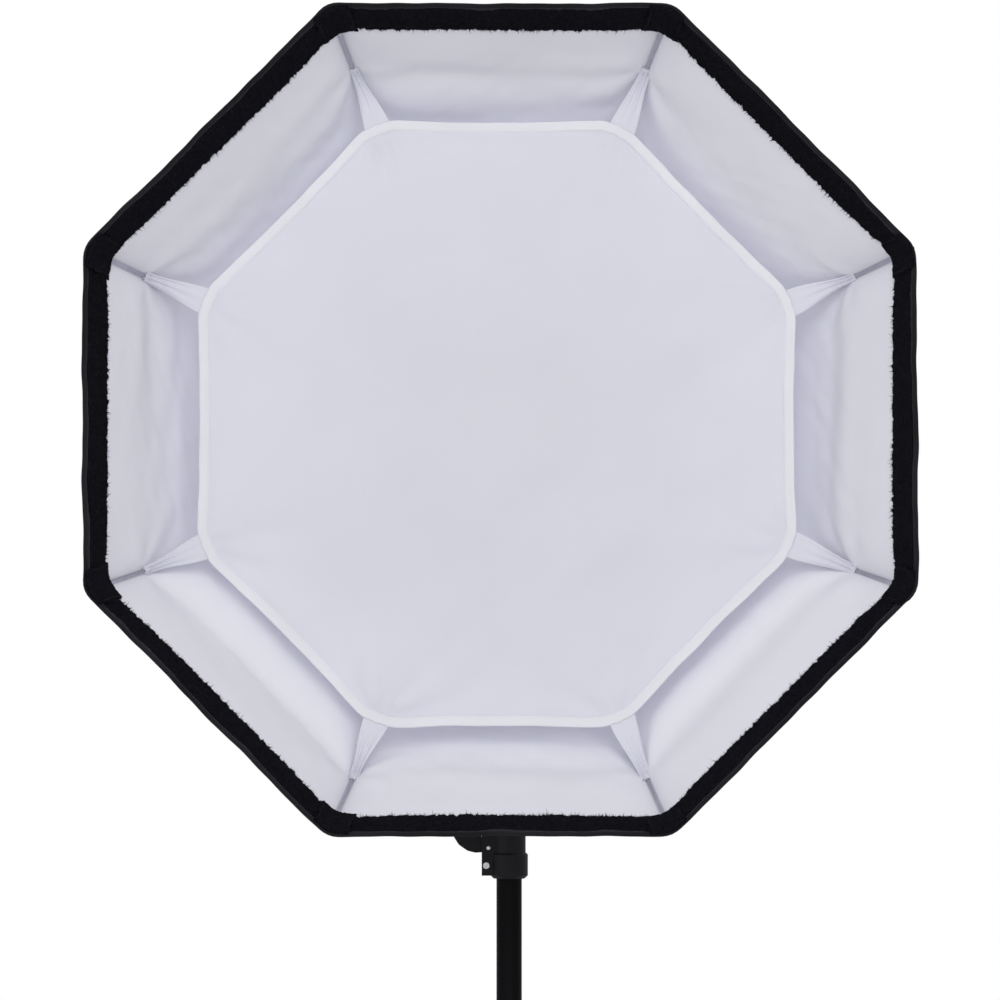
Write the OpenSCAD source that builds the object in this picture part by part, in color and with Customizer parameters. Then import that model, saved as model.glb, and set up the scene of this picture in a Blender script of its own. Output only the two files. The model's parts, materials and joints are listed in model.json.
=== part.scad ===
// Octagonal studio softbox on a speedlight bracket and a folding light stand.
// Millimetres. +Z is up, the softbox faces -Y, and the origin is on the floor
// under the middle of the whole object's bounding box.

/* [Softbox] */
// Corner-to-corner width of the open front
front_span = 813; // [790:1:830]
// Depth from the front edge to where the rods enter the speedring
box_depth = 300; // [290:1:310]
// Depth of the inner diffuser behind the front edge
diffuser_depth = 100; // [90:1:110]
// Rod radius from the softbox axis at the inner diffuser
rod_mid_r = 352; // [348:1:356]
// Corner radius of the inner diffuser
diffuser_r = 300; // [285:1:310]
// Width of the hook-and-loop tape inside the front edge
tape_w = 38; // [25:1:45]
// Diameter of the spring-steel rods
rod_d = 4; // [3:0.5:4.5]

/* [Bracket] */
// Height of the softbox axis above the floor
axis_z = 1115; // [1115:1:1115]
// Height of the tilt pivot below the softbox axis
tilt_drop = 112; // [112:1:112]
// Sideways offset of the softbox axis from the stand
head_x = -9; // [-9:1:-9]
// Depth of the flash clamp's opening at rest
jaw_gap = 76; // [70:1:78]

/* [Stand] */
// Diameter of the base column
column_d = 25; // [25:0.5:25]
// Diameter of the middle section
mid_d = 22; // [22:0.5:22]
// Diameter of the top section
top_d = 19; // [19:0.5:19]
// Height of the lower lock collar's step
lower_lock_z = 704; // [700:1:706]
// Height of the upper lock collar's step
upper_lock_z = 840; // [838:1:842]
// Length from a leg's top pivot to its brace pivot, and of the brace
brace_len = 205; // [200:1:210]
// Angle of the spread legs from the vertical
leg_spread = 51; // [49:0.5:53]

/* [Hidden] */
$fn = 64;
SOFT_FN = 32;                                     // roundness of plain trim

// The whole object's place over the origin.
pole_y = 120;                                     // stand axis behind the origin
rim_y = -box_depth - 85;                          // front edge, from the stand axis

// Octagon: flats at the top, bottom and sides, a rod at each corner.
sides = 8;
half_step = 180 / sides;
flat_share = cos(half_step);                      // apothem over corner radius
front_r = front_span / 2;

// Fabric layers, as offsets outward from the rod centre line.
lining_in = 4.0;
lining_out = 4.6;
cover_in = 4.8;
cover_out = 5.8;
tape_in = 2.4;
tape_out = 3.4;

// Each rod is one circular arc through the front edge, the diffuser and the speedring.
rod_front_r = front_r - cover_out - 0.4;
hub_r = 85;
arc_centre = circumcentre([0, rod_front_r], [diffuser_depth, rod_mid_r], [box_depth, hub_r]);
arc_r = norm([0, rod_front_r] - arc_centre);
arc_front = angle_at(0);                          // arc angle at the front edge
arc_hub = angle_at(box_depth);                    // arc angle at the speedring
fabric_start = 2;                                 // fabric begins behind the binding
pocket_start = 4.3;                               // rod pockets begin clear of the binding
arc_fabric = angle_at(fabric_start);
arc_pocket = angle_at(pocket_start);
arc_cuff = acos((118 - arc_centre[1]) / arc_r);   // fabric ends beside the speedring
fabric_steps = 12;
panel_share = 0.997;                              // each fabric panel's share of its side

// Stand heights and radii.
tilt_z = axis_z - tilt_drop;
column_r = column_d / 2;
mid_r = mid_d / 2;
top_r = top_d / 2;
pivot_r = 26;                                     // leg and brace pivots, from the stand axis
brace_z = 118;                                    // lower pivots of the braces
leg_z = brace_z + 2 * brace_len * cos(leg_spread); // top pivots of the legs
foot_z = 13;                                      // leg end above the floor
leg_len = (leg_z - foot_z) / cos(leg_spread);
leg_r = 8;
spigot_z = 916;                                   // shoulder that the tilt base stands on
lever_out = 2;                                    // flip lever's pin, out from the collar's side
lever_up = 5;                                     // flip lever's pin, above the collar's step

// Speedring and bracket ring, measured along Y from the stand axis.
ring_back_y = -67;
ring_front_y = -95;
ring_r = 92;
insert_r = 76.6;
port_r = 68;
bracket_ring_front_y = -62;
bracket_ring_back_y = -42;
shelf_z = 76;                                     // clamp shelves, from the softbox axis
guide_x = 50;
guide_y = -14;
guide_r = 3;
umbrella_z = -98;
umbrella_r = 4.1;
spigot_r = 71;                                    // bayonet spigot
latch_y = -52;
latch_r = 3;
latch_end = 106;                                  // outer end of the latch boss
spring_x = 89;                                    // inner end of the latch spring's chamber
screw_r = 1.6;

// Centre of the circle through three points.
function circumcentre(a, b, c) =
    let (
        d = 2 * (a[0] * (b[1] - c[1]) + b[0] * (c[1] - a[1]) + c[0] * (a[1] - b[1])),
        a2 = a * a, b2 = b * b, c2 = c * c
    )
    [
        (a2 * (b[1] - c[1]) + b2 * (c[1] - a[1]) + c2 * (a[1] - b[1])) / d,
        (a2 * (c[0] - b[0]) + b2 * (a[0] - c[0]) + c2 * (b[0] - a[0])) / d
    ];

// Arc angle of the rod at a depth behind the front edge.
function angle_at(depth) = asin((depth - arc_centre[0]) / arc_r);

// [depth, radius] on the rod's arc at an angle, moved outward by an offset.
function arc_point(angle, offset = 0) = arc_centre + (arc_r + offset) * [sin(angle), cos(angle)];

// ---------------------------------------------------------------- placing

module at_stand() translate([0, pole_y, 0]) children();

module at_head() translate([head_x, pole_y, axis_z]) children();

// Turns a part drawn along +Z to run along +Y.
module along_y() rotate([-90, 0, 0]) children();

// Turns a part drawn along +Z to run along +X.
module along_x() rotate([0, 90, 0]) children();

// One copy at each corner rod, in the rod's own plane: X is the radius, Y the depth.
module at_rods() {
    for (i = [0 : sides - 1])
        rotate([0, half_step + i * 2 * half_step, 0]) translate([0, rim_y, 0]) children();
}

// One copy at each side of the octagon, with X as the outward direction.
module at_flats() {
    for (i = [0 : sides - 1]) rotate([0, i * 2 * half_step, 0]) translate([0, rim_y, 0]) children();
}

// Leg k: +X points out along the leg, Z stays up.
module at_leg(k) at_stand() rotate([0, 0, -90 + 120 * (k - 1)]) children();

// Z runs down along a spread leg from its top pivot.
module along_leg() translate([pivot_r, 0, leg_z]) rotate([0, 180 - leg_spread, 0]) children();

// Z runs up along a brace from its pivot on the lower collar.
module along_brace() translate([pivot_r, 0, brace_z]) rotate([0, leg_spread, 0]) children();

// ---------------------------------------------------------------- shared shapes

module tube(r_out, r_in, h) {
    difference() {
        cylinder(r = r_out, h = h);
        translate([0, 0, -1]) cylinder(r = r_in, h = h + 2);
    }
}

// A round bar swept along the rod's arc.
module arc_bar(from, to, r) {
    translate([arc_centre[1], arc_centre[0], 0])
        rotate([0, 0, from]) rotate_extrude(angle = to - from, $fn = 128)
            translate([arc_r, 0]) circle(r = r, $fn = SOFT_FN);
}

// One flat-sided panel between two rods, bowed in depth, between two offsets. A share under 1
// leaves a seam's gap to the next panel.
module panel(inner, outer, from, to, steps, share = 1) {
    tan_half = share * tan(half_step);
    rings = [
        for (i = [0 : steps]) let (
            angle = from + (to - from) * i / steps,
            o = arc_point(angle, outer),
            n = arc_point(angle, inner),
            ro = o[1] * flat_share,
            rn = n[1] * flat_share
        )
        [[ro, o[0], -ro * tan_half], [ro, o[0], ro * tan_half],
         [rn, n[0], rn * tan_half], [rn, n[0], -rn * tan_half]]
    ];
    points = [for (ring = rings) for (p = ring) p];
    last = 4 * steps;
    faces = concat(
        [[0, 1, 2, 3]],
        [for (i = [0 : steps - 1]) for (j = [0 : 3])
            [4 * i + j, 4 * i + 4 + j, 4 * i + 4 + (j + 1) % 4, 4 * i + (j + 1) % 4]],
        [[last + 3, last + 2, last + 1, last]]
    );
    polyhedron(points = points, faces = faces);
}

// A flat octagonal ring whose corners reach corner_r.
module octagon_ring(corner_r, inner_corner_r, thickness) {
    rotate([-90, 0, 0]) linear_extrude(thickness) difference() {
        rotate(half_step) circle(r = corner_r, $fn = sides);
        rotate(half_step) circle(r = inner_corner_r, $fn = sides);
    }
}

// A round grip with shallow flutes, along +Z.
module grip(r, h, flutes) {
    difference() {
        cylinder(r = r, h = h);
        for (i = [0 : flutes - 1])
            rotate([0, 0, i * 360 / flutes]) translate([r + 1.2, 0, -1]) cylinder(r = 2.6, h = h + 2);
    }
}

// A two-winged grip, along +Z.
module wing_grip(span, h) {
    cylinder(r = 7.5, h = h);
    translate([-span / 2 + 4, -3, 2]) cube([span - 8, 6, h - 2]);
    for (s = [-1, 1]) translate([s * (span / 2 - 4), 0, 2]) cylinder(r = 4, h = h - 2);
}

// ---------------------------------------------------------------- stand base

module base_column() color("#17171a") at_stand()
    translate([0, 0, 88]) tube(column_r, column_r - 1.2, lower_lock_z - 6 - 88);

module column_plug() color("#101012") at_stand() {
    translate([0, 0, 80]) cylinder(r = column_r, h = 8);
    translate([0, 0, 88]) cylinder(r = column_r - 1.3, h = 14);
}

module brace_collar() color("#101012") at_stand() difference() {
    union() {
        translate([0, 0, brace_z - 20]) cylinder(r = 17, h = 38);
        for (k = [0 : 2]) rotate([0, 0, -90 + 120 * k]) {
            translate([12, -8, brace_z - 7]) cube([pivot_r - 12, 16, 14]);
            translate([pivot_r, 8, brace_z]) rotate([90, 0, 0]) cylinder(r = 7, h = 16);
        }
    }
    translate([0, 0, brace_z - 30]) cylinder(r = column_r + 0.05, h = 60);
    for (k = [0 : 2]) rotate([0, 0, -90 + 120 * k])
        translate([pivot_r, 20, brace_z]) rotate([90, 0, 0]) cylinder(r = 2.6, h = 40);
}

// A clamp for two nested tubes: a wide lower part on the outer tube, a narrower upper part on
// the inner one, split ears for the pinch bolt, and two cheeks that carry the flip lever.
module lock_collar(outer_r, inner_r, z) color("#1a1a1d") at_stand() difference() {
    wide = outer_r + 6;
    narrow = inner_r + 5.3;
    union() {
        translate([0, 0, z - 25]) cylinder(r1 = wide - 3, r2 = wide, h = 3);
        translate([0, 0, z - 22]) cylinder(r = wide, h = 20.5);
        translate([0, 0, z - 1.5]) cylinder(r1 = wide, r2 = narrow, h = 2);
        translate([0, 0, z]) cylinder(r = narrow, h = 29);
        translate([0, 0, z + 29]) cylinder(r1 = narrow, r2 = narrow - 1.5, h = 1.5);
        translate([-wide - 8.5, -9, z - 22]) cube([16, 18, 22]);
        for (y = [-9, 5]) translate([-wide - 8.5, y, z - 1]) cube([16, 4, 25]);
    }
    translate([0, 0, z - 30]) cylinder(r = outer_r + 0.05, h = 25);
    translate([0, 0, z - 6]) cylinder(r = inner_r + 0.1, h = 50);
    translate([-wide - 10, -1, z - 26]) cube([20, 2, 24]);
    translate([-wide - 4, 20, z - 12]) rotate([90, 0, 0]) cylinder(r = 2.52, h = 40);
    translate([-wide - lever_out, 20, z + lever_up]) rotate([90, 0, 0]) cylinder(r = 2.02, h = 40);
}

// Pinch bolt with its nut, and the lever's pivot pin.
module lock_screws(outer_r, z) color("silver") at_stand() {
    wide = outer_r + 6;
    translate([-wide - 4, -9, z - 12]) rotate([90, 0, 0]) difference() {
        union() {
            translate([0, 0, -18]) cylinder(r = 2.5, h = 18.5);
            cylinder(r = 3.2, h = 2.6);
            translate([0, 0, -21.5]) cylinder(r = 4.4, h = 3.5, $fn = 6);
        }
        translate([0, 0, 0.8]) cylinder(r = 1.8, h = 5, $fn = 6);
    }
    translate([-wide - lever_out, -7, z + lever_up]) rotate([-90, 0, 0]) cylinder(r = 2, h = 14);
}

// Flip lever: a hub between the collar's cheeks and a leaf-shaped handle.
module lock_lever(outer_r, z) color("#141416") at_stand()
    translate([-outer_r - 6 - lever_out, 0, z + lever_up]) rotate([90, 0, 0]) difference() {
        translate([0, 0, -4.7]) linear_extrude(9.4) hull() {
            circle(r = 3.9, $fn = SOFT_FN);
            translate([-12, 4]) circle(r = 8.6, $fn = SOFT_FN);
            translate([-17, 5.2]) circle(r = 8.6, $fn = SOFT_FN);
            translate([-24, 8.2]) circle(r = 7, $fn = SOFT_FN);
            translate([-30, 12]) circle(r = 4, $fn = SOFT_FN);
        }
        translate([0, 0, -20]) cylinder(r = 2.1, h = 40);
    }

module lower_lock_collar() lock_collar(column_r, mid_r, lower_lock_z);

module lower_lock_screws() lock_screws(column_r, lower_lock_z);

module lower_lock_lever() lock_lever(column_r, lower_lock_z);

// ---------------------------------------------------------------- legs

// Sliding collar that carries the leg tops; each leg eye sits between a pair of ears.
module leg_collar() color("#101012") at_stand() difference() {
    union() {
        translate([0, 0, leg_z - 22]) cylinder(r = 17, h = 50);
        for (k = [0 : 2]) rotate([0, 0, -90 + 120 * k]) for (s = [-1, 1]) {
            translate([12, s * 6.8 - 2.2, leg_z - 9]) cube([pivot_r - 12, 4.4, 18]);
            translate([pivot_r, s * 6.8 + 2.2, leg_z]) rotate([90, 0, 0]) cylinder(r = 9, h = 4.4);
        }
        translate([0, 14, leg_z + 17]) along_y() cylinder(r = 7.5, h = 12);
    }
    translate([0, 0, leg_z - 30]) cylinder(r = column_r + 0.3, h = 70);
    translate([0, 8, leg_z + 17]) along_y() cylinder(r = 3.1, h = 30);
    for (k = [0 : 2]) rotate([0, 0, -90 + 120 * k])
        translate([pivot_r, 20, leg_z]) rotate([90, 0, 0]) cylinder(r = 2.52, h = 40);
}

// Rivets through the ears, on which the legs turn.
module leg_collar_rivets() color("silver") at_stand()
    for (k = [0 : 2]) rotate([0, 0, -90 + 120 * k]) translate([pivot_r, 0, leg_z]) rotate([90, 0, 0]) {
        translate([0, 0, -9]) cylinder(r = 2.5, h = 18);
        for (s = [0, 1]) mirror([0, 0, s]) translate([0, 0, 9]) cylinder(r1 = 4.2, r2 = 2.6, h = 1.8);
    }

module leg_collar_knob() color("#141416") at_stand()
    translate([0, column_r + 0.6, leg_z + 17]) along_y() {
        cylinder(r = 3, h = 15);
        translate([0, 0, 14]) wing_grip(40, 14);
    }

// Leg: a flattened top eye plugged into a round tube.
module leg(k) color("#17171a") at_leg(k) along_leg() {
    difference() {
        union() {
            rotate([90, 0, 0]) translate([0, 0, -4]) cylinder(r = 7, h = 8);
            translate([-6, -4, 0]) cube([12, 8, 30]);
        }
        rotate([90, 0, 0]) translate([0, 0, -10]) cylinder(r = 2.6, h = 20);
    }
    translate([0, 0, 30]) difference() {
        cylinder(r = leg_r, h = leg_len - 32);
        translate([0, 0, 6]) cylinder(r = leg_r - 1.2, h = leg_len);
    }
}

// Rubber foot: a sleeve on the leg's end and a flat round pad.
module foot(k) color("#0c0c0d") at_leg(k) difference() {
    union() {
        along_leg() translate([0, 0, leg_len - 34]) cylinder(r = 10.5, h = 36);
        translate([pivot_r + leg_len * sin(leg_spread), 0, 0]) cylinder(r1 = 14, r2 = 11, h = 16);
    }
    along_leg() translate([0, 0, leg_len - 60]) cylinder(r = leg_r + 0.05, h = 58.2);
    translate([0, 0, -20]) cube([2000, 2000, 40], center = true);
}

// Brace: two flat bars astride the leg. The lower pin turns in the brace collar; the upper
// pivot has its rivet heads only.
module brace(k) color("#3a3a3e") at_leg(k) along_brace() {
    for (s = [-1, 1]) translate([0, s * 9.6 + 1.2, 0]) rotate([90, 0, 0]) {
        cylinder(r = 7, h = 2.4);
        translate([0, brace_len, 0]) cylinder(r = 7, h = 2.4);
        translate([-7, 0, 0]) cube([14, brace_len, 2.4]);
    }
    rotate([90, 0, 0]) translate([0, 0, -10]) cylinder(r = 2.5, h = 20);
    for (h = [0, brace_len]) translate([0, 0, h]) rotate([90, 0, 0])
        for (s = [0, 1]) mirror([0, 0, s]) translate([0, 0, 10.8]) cylinder(r1 = 4.2, r2 = 2.8, h = 1.6);
}

// ---------------------------------------------------------------- telescoping sections

mid_low_z = lower_lock_z - 489;
top_low_z = upper_lock_z - 510;

module mid_tube() color("#17171a") at_stand()
    translate([0, 0, mid_low_z]) tube(mid_r, mid_r - 1.15, upper_lock_z - 6 - mid_low_z);

// Plastic guide at the middle section's foot, inside the column.
module mid_bush() color("#2b2b2e") at_stand() translate([0, 0, mid_low_z - 10]) {
    cylinder(r = column_r - 1.3, h = 10);
    translate([0, 0, 10]) cylinder(r = mid_r - 1.2, h = 12);
}

module upper_lock_collar() lock_collar(mid_r, top_r, upper_lock_z);

module upper_lock_screws() lock_screws(mid_r, upper_lock_z);

module upper_lock_lever() lock_lever(mid_r, upper_lock_z);

module top_tube() color("#17171a") at_stand()
    translate([0, 0, top_low_z]) tube(top_r, top_r - 1.1, spigot_z - 11 - top_low_z);

module top_bush() color("#2b2b2e") at_stand() translate([0, 0, top_low_z - 10]) {
    cylinder(r = mid_r - 1.25, h = 10);
    translate([0, 0, 10]) cylinder(r = top_r - 1.15, h = 12);
}

// Steel stud with a clamping groove, plugged into the top section.
module spigot() color("silver") at_stand() {
    translate([0, 0, spigot_z - 36]) cylinder(r = top_r - 1.15, h = 25);
    translate([0, 0, spigot_z - 11]) cylinder(r = top_r, h = 11);
    translate([0, 0, spigot_z]) difference() {
        union() {
            cylinder(r = 7.94, h = 46);
            translate([0, 0, 46]) cylinder(r1 = 7.94, r2 = 6.6, h = 2);
        }
        translate([0, 0, 20]) difference() {
            cylinder(r = 12, h = 16);
            translate([0, 0, -1]) cylinder(r = 6.9, h = 18);
        }
    }
}

// ---------------------------------------------------------------- tilt joint

knob_z = spigot_z + 28;

// Socket for the stud, with one ear of the tilt joint on its right.
module tilt_base() color("#1c1c1f") at_stand() difference() {
    union() {
        translate([0, 0, spigot_z + 1]) cylinder(r = 17, h = 52);
        translate([0, 0, spigot_z + 53]) cylinder(r1 = 17, r2 = 14, h = 3);
        translate([0.4, -13, spigot_z + 50]) cube([12, 26, tilt_z - spigot_z - 50]);
        translate([0.4, 0, tilt_z]) along_x() cylinder(r = 22, h = 12);
        translate([0, 12, knob_z]) along_y() cylinder(r = 9, h = 12);
    }
    translate([0, 0, spigot_z]) cylinder(r = 8.04, h = 50);
    translate([-30, 0, tilt_z]) along_x() cylinder(r = 4.1, h = 60);
    translate([0, 5, knob_z]) along_y() cylinder(r = 3.1, h = 30);
}

module socket_knob() color("#141416") at_stand() translate([0, 8.3, knob_z]) along_y() {
    cylinder(r = 3, h = 19);
    translate([0, 0, 17]) wing_grip(46, 15);
}

module tilt_bolt() color("silver") at_stand() translate([-24.4, 0, tilt_z]) along_x() {
    cylinder(r = 6.6, h = 6, $fn = 6);
    translate([0, 0, 6]) cylinder(r = 4, h = 44);
}

// Ratchet handle on the tilt bolt, pointing down and back.
module tilt_lever() color("#141416") at_stand() translate([0, 0, tilt_z]) difference() {
    union() {
        translate([12.8, 0, 0]) along_x() cylinder(r = 10, h = 15);
        translate([27.8, 0, 0]) along_x() cylinder(r1 = 10, r2 = 8.5, h = 2);
        translate([17, 0, 0]) rotate([90, 0, 90]) linear_extrude(9) hull() {
            circle(r = 7, $fn = SOFT_FN);
            translate([34, -20]) circle(r = 5, $fn = SOFT_FN);
            translate([58, -30]) circle(r = 6, $fn = SOFT_FN);
        }
    }
    along_x() cylinder(r = 4.1, h = 26.5);
}

// ---------------------------------------------------------------- speedlight bracket

// Clamp shelf with its guide bosses and the flange that bolts to the back of the ring.
module shelf() {
    translate([-58, bracket_ring_back_y, shelf_z]) cube([116, 40, 8]);
    for (s = [-1, 1]) translate([s * guide_x, guide_y, shelf_z - 6]) cylinder(r = 7, h = 6);
    intersection() {
        translate([-46, bracket_ring_back_y, port_r + 1]) cube([92, 6, 24]);
        translate([0, bracket_ring_back_y, 0]) along_y() cylinder(r = ring_r, h = 6);
    }
}

// Holes in a shelf for its guide rods and its two screws.
module shelf_holes() {
    for (s = [-1, 1]) translate([s * guide_x, guide_y, shelf_z - 12])
        cylinder(r = guide_r + 0.04, h = 30);
    at_shelf_screws() translate([0, 0, -10]) cylinder(r = screw_r + 0.05, h = 30);
}

// Z runs forward along each of a shelf's two screws, from the flange's back face.
module at_shelf_screws() {
    for (s = [-1, 1]) translate([s * 28, bracket_ring_back_y + 6, port_r + 4.5])
        rotate([90, 0, 0]) children();
}

// Arm with the other ear of the tilt joint, the umbrella bore and the lower clamp shelf.
module bracket_body() color("#1c1c1f") at_head() difference() {
    union() {
        translate([-9, 0, -tilt_drop]) along_x() cylinder(r = 22, h = 18);
        translate([-9, 0, 0]) rotate([90, 0, 90]) linear_extrude(18)
            polygon([[-60, -76], [-60, -106], [-7, -tilt_drop - 20.8], [10, -tilt_drop + 19.6],
                     [-2, -76]]);
        mirror([0, 0, 1]) shelf();
    }
    translate([0, bracket_ring_back_y, 0]) rotate([90, 0, 0]) cylinder(r = ring_r + 0.05, h = 40);
    translate([0, -80, umbrella_z]) along_y() cylinder(r = umbrella_r, h = 120);
    translate([-20, 0, -tilt_drop]) along_x() cylinder(r = 4.05, h = 40);
    translate([-20, -28, umbrella_z]) along_x() cylinder(r = 2.6, h = 18);
    mirror([0, 0, 1]) shelf_holes();
}

// Front ring of the bracket: tabs and a groove for the bayonet, and a boss for the latch.
module bracket_ring() color("#1c1c1f") at_head() difference() {
    union() {
        difference() {
            union() {
                translate([0, bracket_ring_front_y, 0]) along_y() cylinder(r = ring_r, h = 20, $fn = 128);
                translate([ring_r - 8, latch_y - 8, -9]) cube([latch_end - ring_r + 8, 16, 18]);
            }
            translate([0, bracket_ring_front_y - 1, 0]) along_y() cylinder(r = insert_r, h = 8, $fn = 128);
        }
        for (i = [0 : 2]) translate([0, bracket_ring_front_y, 0]) rotate([-90, 60 + 120 * i, 0])
            bayonet_sector(spigot_r + 0.3, insert_r + 1, 30, 3);
    }
    translate([0, bracket_ring_front_y - 1, 0]) along_y() cylinder(r = port_r, h = 30, $fn = 128);
    translate([0, bracket_ring_front_y - 1, 0]) along_y() cylinder(r = spigot_r + 0.2, h = 14, $fn = 128);
    translate([60, latch_y, 0]) along_x() cylinder(r = latch_r + 0.1, h = 60);
    translate([spring_x, latch_y, 0]) along_x() cylinder(r = 5.4, h = 30);
    for (s = [0, 1]) mirror([0, 0, s]) at_shelf_screws() cylinder(r = screw_r + 0.05, h = 15);
}

// A sector of a flat ring, centred on +X.
module bayonet_sector(r_in, r_out, angle, h) {
    rotate([0, 0, -angle / 2]) rotate_extrude(angle = angle, $fn = 128)
        translate([r_in, 0]) square([r_out - r_in, h]);
}

// Upper clamp shelf, with a boss for the clamp screw.
module top_yoke() color("#1c1c1f") at_head() difference() {
    union() {
        shelf();
        translate([0, guide_y, shelf_z]) cylinder(r = 11, h = 12);
    }
    translate([0, guide_y, shelf_z - 5]) cylinder(r = 4.2, h = 40);
    shelf_holes();
}

module guide_rods() color("silver") at_head()
    for (s = [-1, 1]) translate([s * guide_x, guide_y, -shelf_z - 8])
        cylinder(r = guide_r, h = 2 * shelf_z + 16);

// A clamp jaw, 10 mm thick, with its grip face at z = 0 and its body below.
module jaw(bore_r) {
    difference() {
        union() {
            translate([-44, guide_y - 16, -10]) cube([88, 32, 10]);
            for (s = [-1, 1]) translate([s * guide_x, guide_y, -10]) cylinder(r = 7.5, h = 10);
            translate([-guide_x, guide_y - 5, -10]) cube([2 * guide_x, 10, 10]);
        }
        for (s = [-1, 1]) translate([s * guide_x, guide_y, -20]) cylinder(r = bore_r, h = 40);
    }
}

module jaw_pad() translate([-40, guide_y - 14, 0]) cube([80, 28, 3]);

module lower_jaw() color("#1c1c1f") at_head() translate([0, 0, -jaw_gap / 2]) jaw(guide_r + 0.04);

module lower_pad() color("#0c0c0d") at_head() translate([0, 0, -jaw_gap / 2]) jaw_pad();

// The upper jaw holds the screw's end in a blind socket.
module upper_jaw() color("#1c1c1f") at_head() translate([0, 0, jaw_gap / 2]) difference() {
    mirror([0, 0, 1]) jaw(guide_r + 0.15);
    translate([0, guide_y, 3]) cylinder(r = 4.2, h = 20);
}

module upper_pad() color("#0c0c0d") at_head()
    translate([0, 0, jaw_gap / 2]) mirror([0, 0, 1]) jaw_pad();

module clamp_knob() color("#141416") at_head() translate([0, guide_y, jaw_gap / 2 + 3.3]) {
    cylinder(r = 4, h = 79);
    translate([0, 0, 78]) grip(19, 16, 12);
}

module umbrella_knob() color("#141416") at_head() translate([-4.3, -28, umbrella_z]) rotate([0, -90, 0]) {
    cylinder(r = 2.5, h = 9);
    translate([0, 0, 6]) cylinder(r = 5, h = 4);
    translate([0, 0, 10]) grip(9, 9, 8);
}

// Spring-loaded pull pin that locks the bayonet; its collar is pushed inward by the spring.
module latch_pin() color("silver") at_head() translate([spigot_r - 1.5, latch_y, 0]) along_x() {
    pin = latch_end + 12 - spigot_r;
    cylinder(r = latch_r, h = pin);
    translate([0, 0, spring_x + 0.2 - spigot_r + 1.5]) cylinder(r = 5.2, h = 1.4);
    translate([0, 0, pin - 2]) grip(7, 6, 8);
}

// Bush that closes the spring's chamber.
module latch_bush() color("silver") at_head() translate([latch_end - 4, latch_y, 0]) along_x() difference() {
    union() {
        cylinder(r = 5.35, h = 4);
        translate([0, 0, 4]) cylinder(r = 7.5, h = 2, $fn = 6);
    }
    translate([0, 0, -1]) cylinder(r = latch_r + 0.1, h = 10);
}

// Coil spring round the pull pin: a round wire swept along a helix.
module latch_spring() color("silver") at_head() translate([spring_x + 1.7, latch_y, 0]) along_x() {
    turns = 5;
    steps = 14 * turns;
    wire_r = 0.45;
    coil_r = 4.2;
    corners = 6;
    rise = latch_end - 4 - spring_x - 1.8 - 2 * wire_r;
    points = [for (i = [0 : steps]) for (j = [0 : corners - 1]) let (
        a = 360 * turns * i / steps,
        b = 360 * j / corners,
        r = coil_r + wire_r * cos(b)
    ) [r * cos(a), r * sin(a), wire_r + rise * i / steps + wire_r * sin(b)]];
    last = corners * steps;
    faces = concat(
        [[for (j = [0 : corners - 1]) j]],
        [for (i = [0 : steps - 1]) for (j = [0 : corners - 1])
            [corners * i + j, corners * (i + 1) + j,
             corners * (i + 1) + (j + 1) % corners, corners * i + (j + 1) % corners]],
        [[for (j = [corners - 1 : -1 : 0]) last + j]]
    );
    polyhedron(points = points, faces = faces);
}

// Screws that join the shelves to the bracket ring and the retaining ring to the insert.
module bracket_screws() color("silver") at_head() {
    for (s = [0, 1]) mirror([0, 0, s]) at_shelf_screws() {
        cylinder(r = screw_r, h = 14);
        translate([0, 0, -2.4]) cylinder(r = 2.8, h = 2.4);
    }
    at_ring_screws() {
        cylinder(r = screw_r, h = 10);
        translate([0, 0, -1.8]) cylinder(r = 2.8, h = 1.8);
    }
}

// Z runs back along each of the retaining ring's four screws, from its front face.
module at_ring_screws() {
    for (i = [0 : 3]) rotate([0, 45 + 90 * i, 0])
        translate([72.3, ring_front_y - 3.5, 0]) along_y() children();
}

// Rotating seat of the speedring, with a bayonet spigot and three lugs at its back.
module bayonet_insert() color("#b9bcc0") at_head() difference() {
    union() {
        translate([0, ring_front_y - 0.3, 0]) along_y()
            cylinder(r = insert_r, h = bracket_ring_front_y - ring_front_y + 0.3, $fn = 128);
        translate([0, bracket_ring_front_y - 4.7, 0]) along_y() cylinder(r = 86, h = 4.7, $fn = 128);
        translate([0, bracket_ring_front_y - 1, 0]) along_y() cylinder(r = spigot_r, h = 13, $fn = 128);
        for (i = [0 : 2]) translate([0, bracket_ring_front_y + 3.3, 0]) rotate([-90, 60 + 120 * i, 0])
            bayonet_sector(spigot_r - 1, insert_r - 0.5, 26, 3.4);
    }
    translate([0, -110, 0]) along_y() cylinder(r = port_r, h = 70, $fn = 128);
    translate([60, latch_y, 0]) along_x() cylinder(r = latch_r + 0.15, h = 20);
    at_ring_screws() cylinder(r = screw_r + 0.05, h = 12);
}

module retaining_ring() color("#b9bcc0") at_head() difference() {
    translate([0, ring_front_y - 3.5, 0]) along_y() tube(84, port_r, 3.2, $fn = 128);
    at_ring_screws() translate([0, 0, -1]) cylinder(r = screw_r + 0.05, h = 12);
}

// ---------------------------------------------------------------- softbox

// Rotating outer ring with a radial hole for each rod socket.
module speedring() color("#b9bcc0") at_head() difference() {
    translate([0, ring_front_y, 0]) along_y()
        tube(ring_r, insert_r + 0.4, ring_back_y - ring_front_y, $fn = 128);
    for (i = [0 : sides - 1]) rotate([0, half_step + i * 2 * half_step, 0])
        socket_place() cylinder(r = 3.55, h = 40);
    translate([0, -73, 60]) cylinder(r = 2.6, h = 40);
}

// Z runs outward along the rod's tangent, from just inside the speedring.
module socket_place() {
    start = arc_point(arc_hub);
    translate([start[1] - 3, rim_y + start[0] + 1, 0]) rotate([0, 0, arc_hub]) rotate([90, 0, 0]) children();
}

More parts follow.
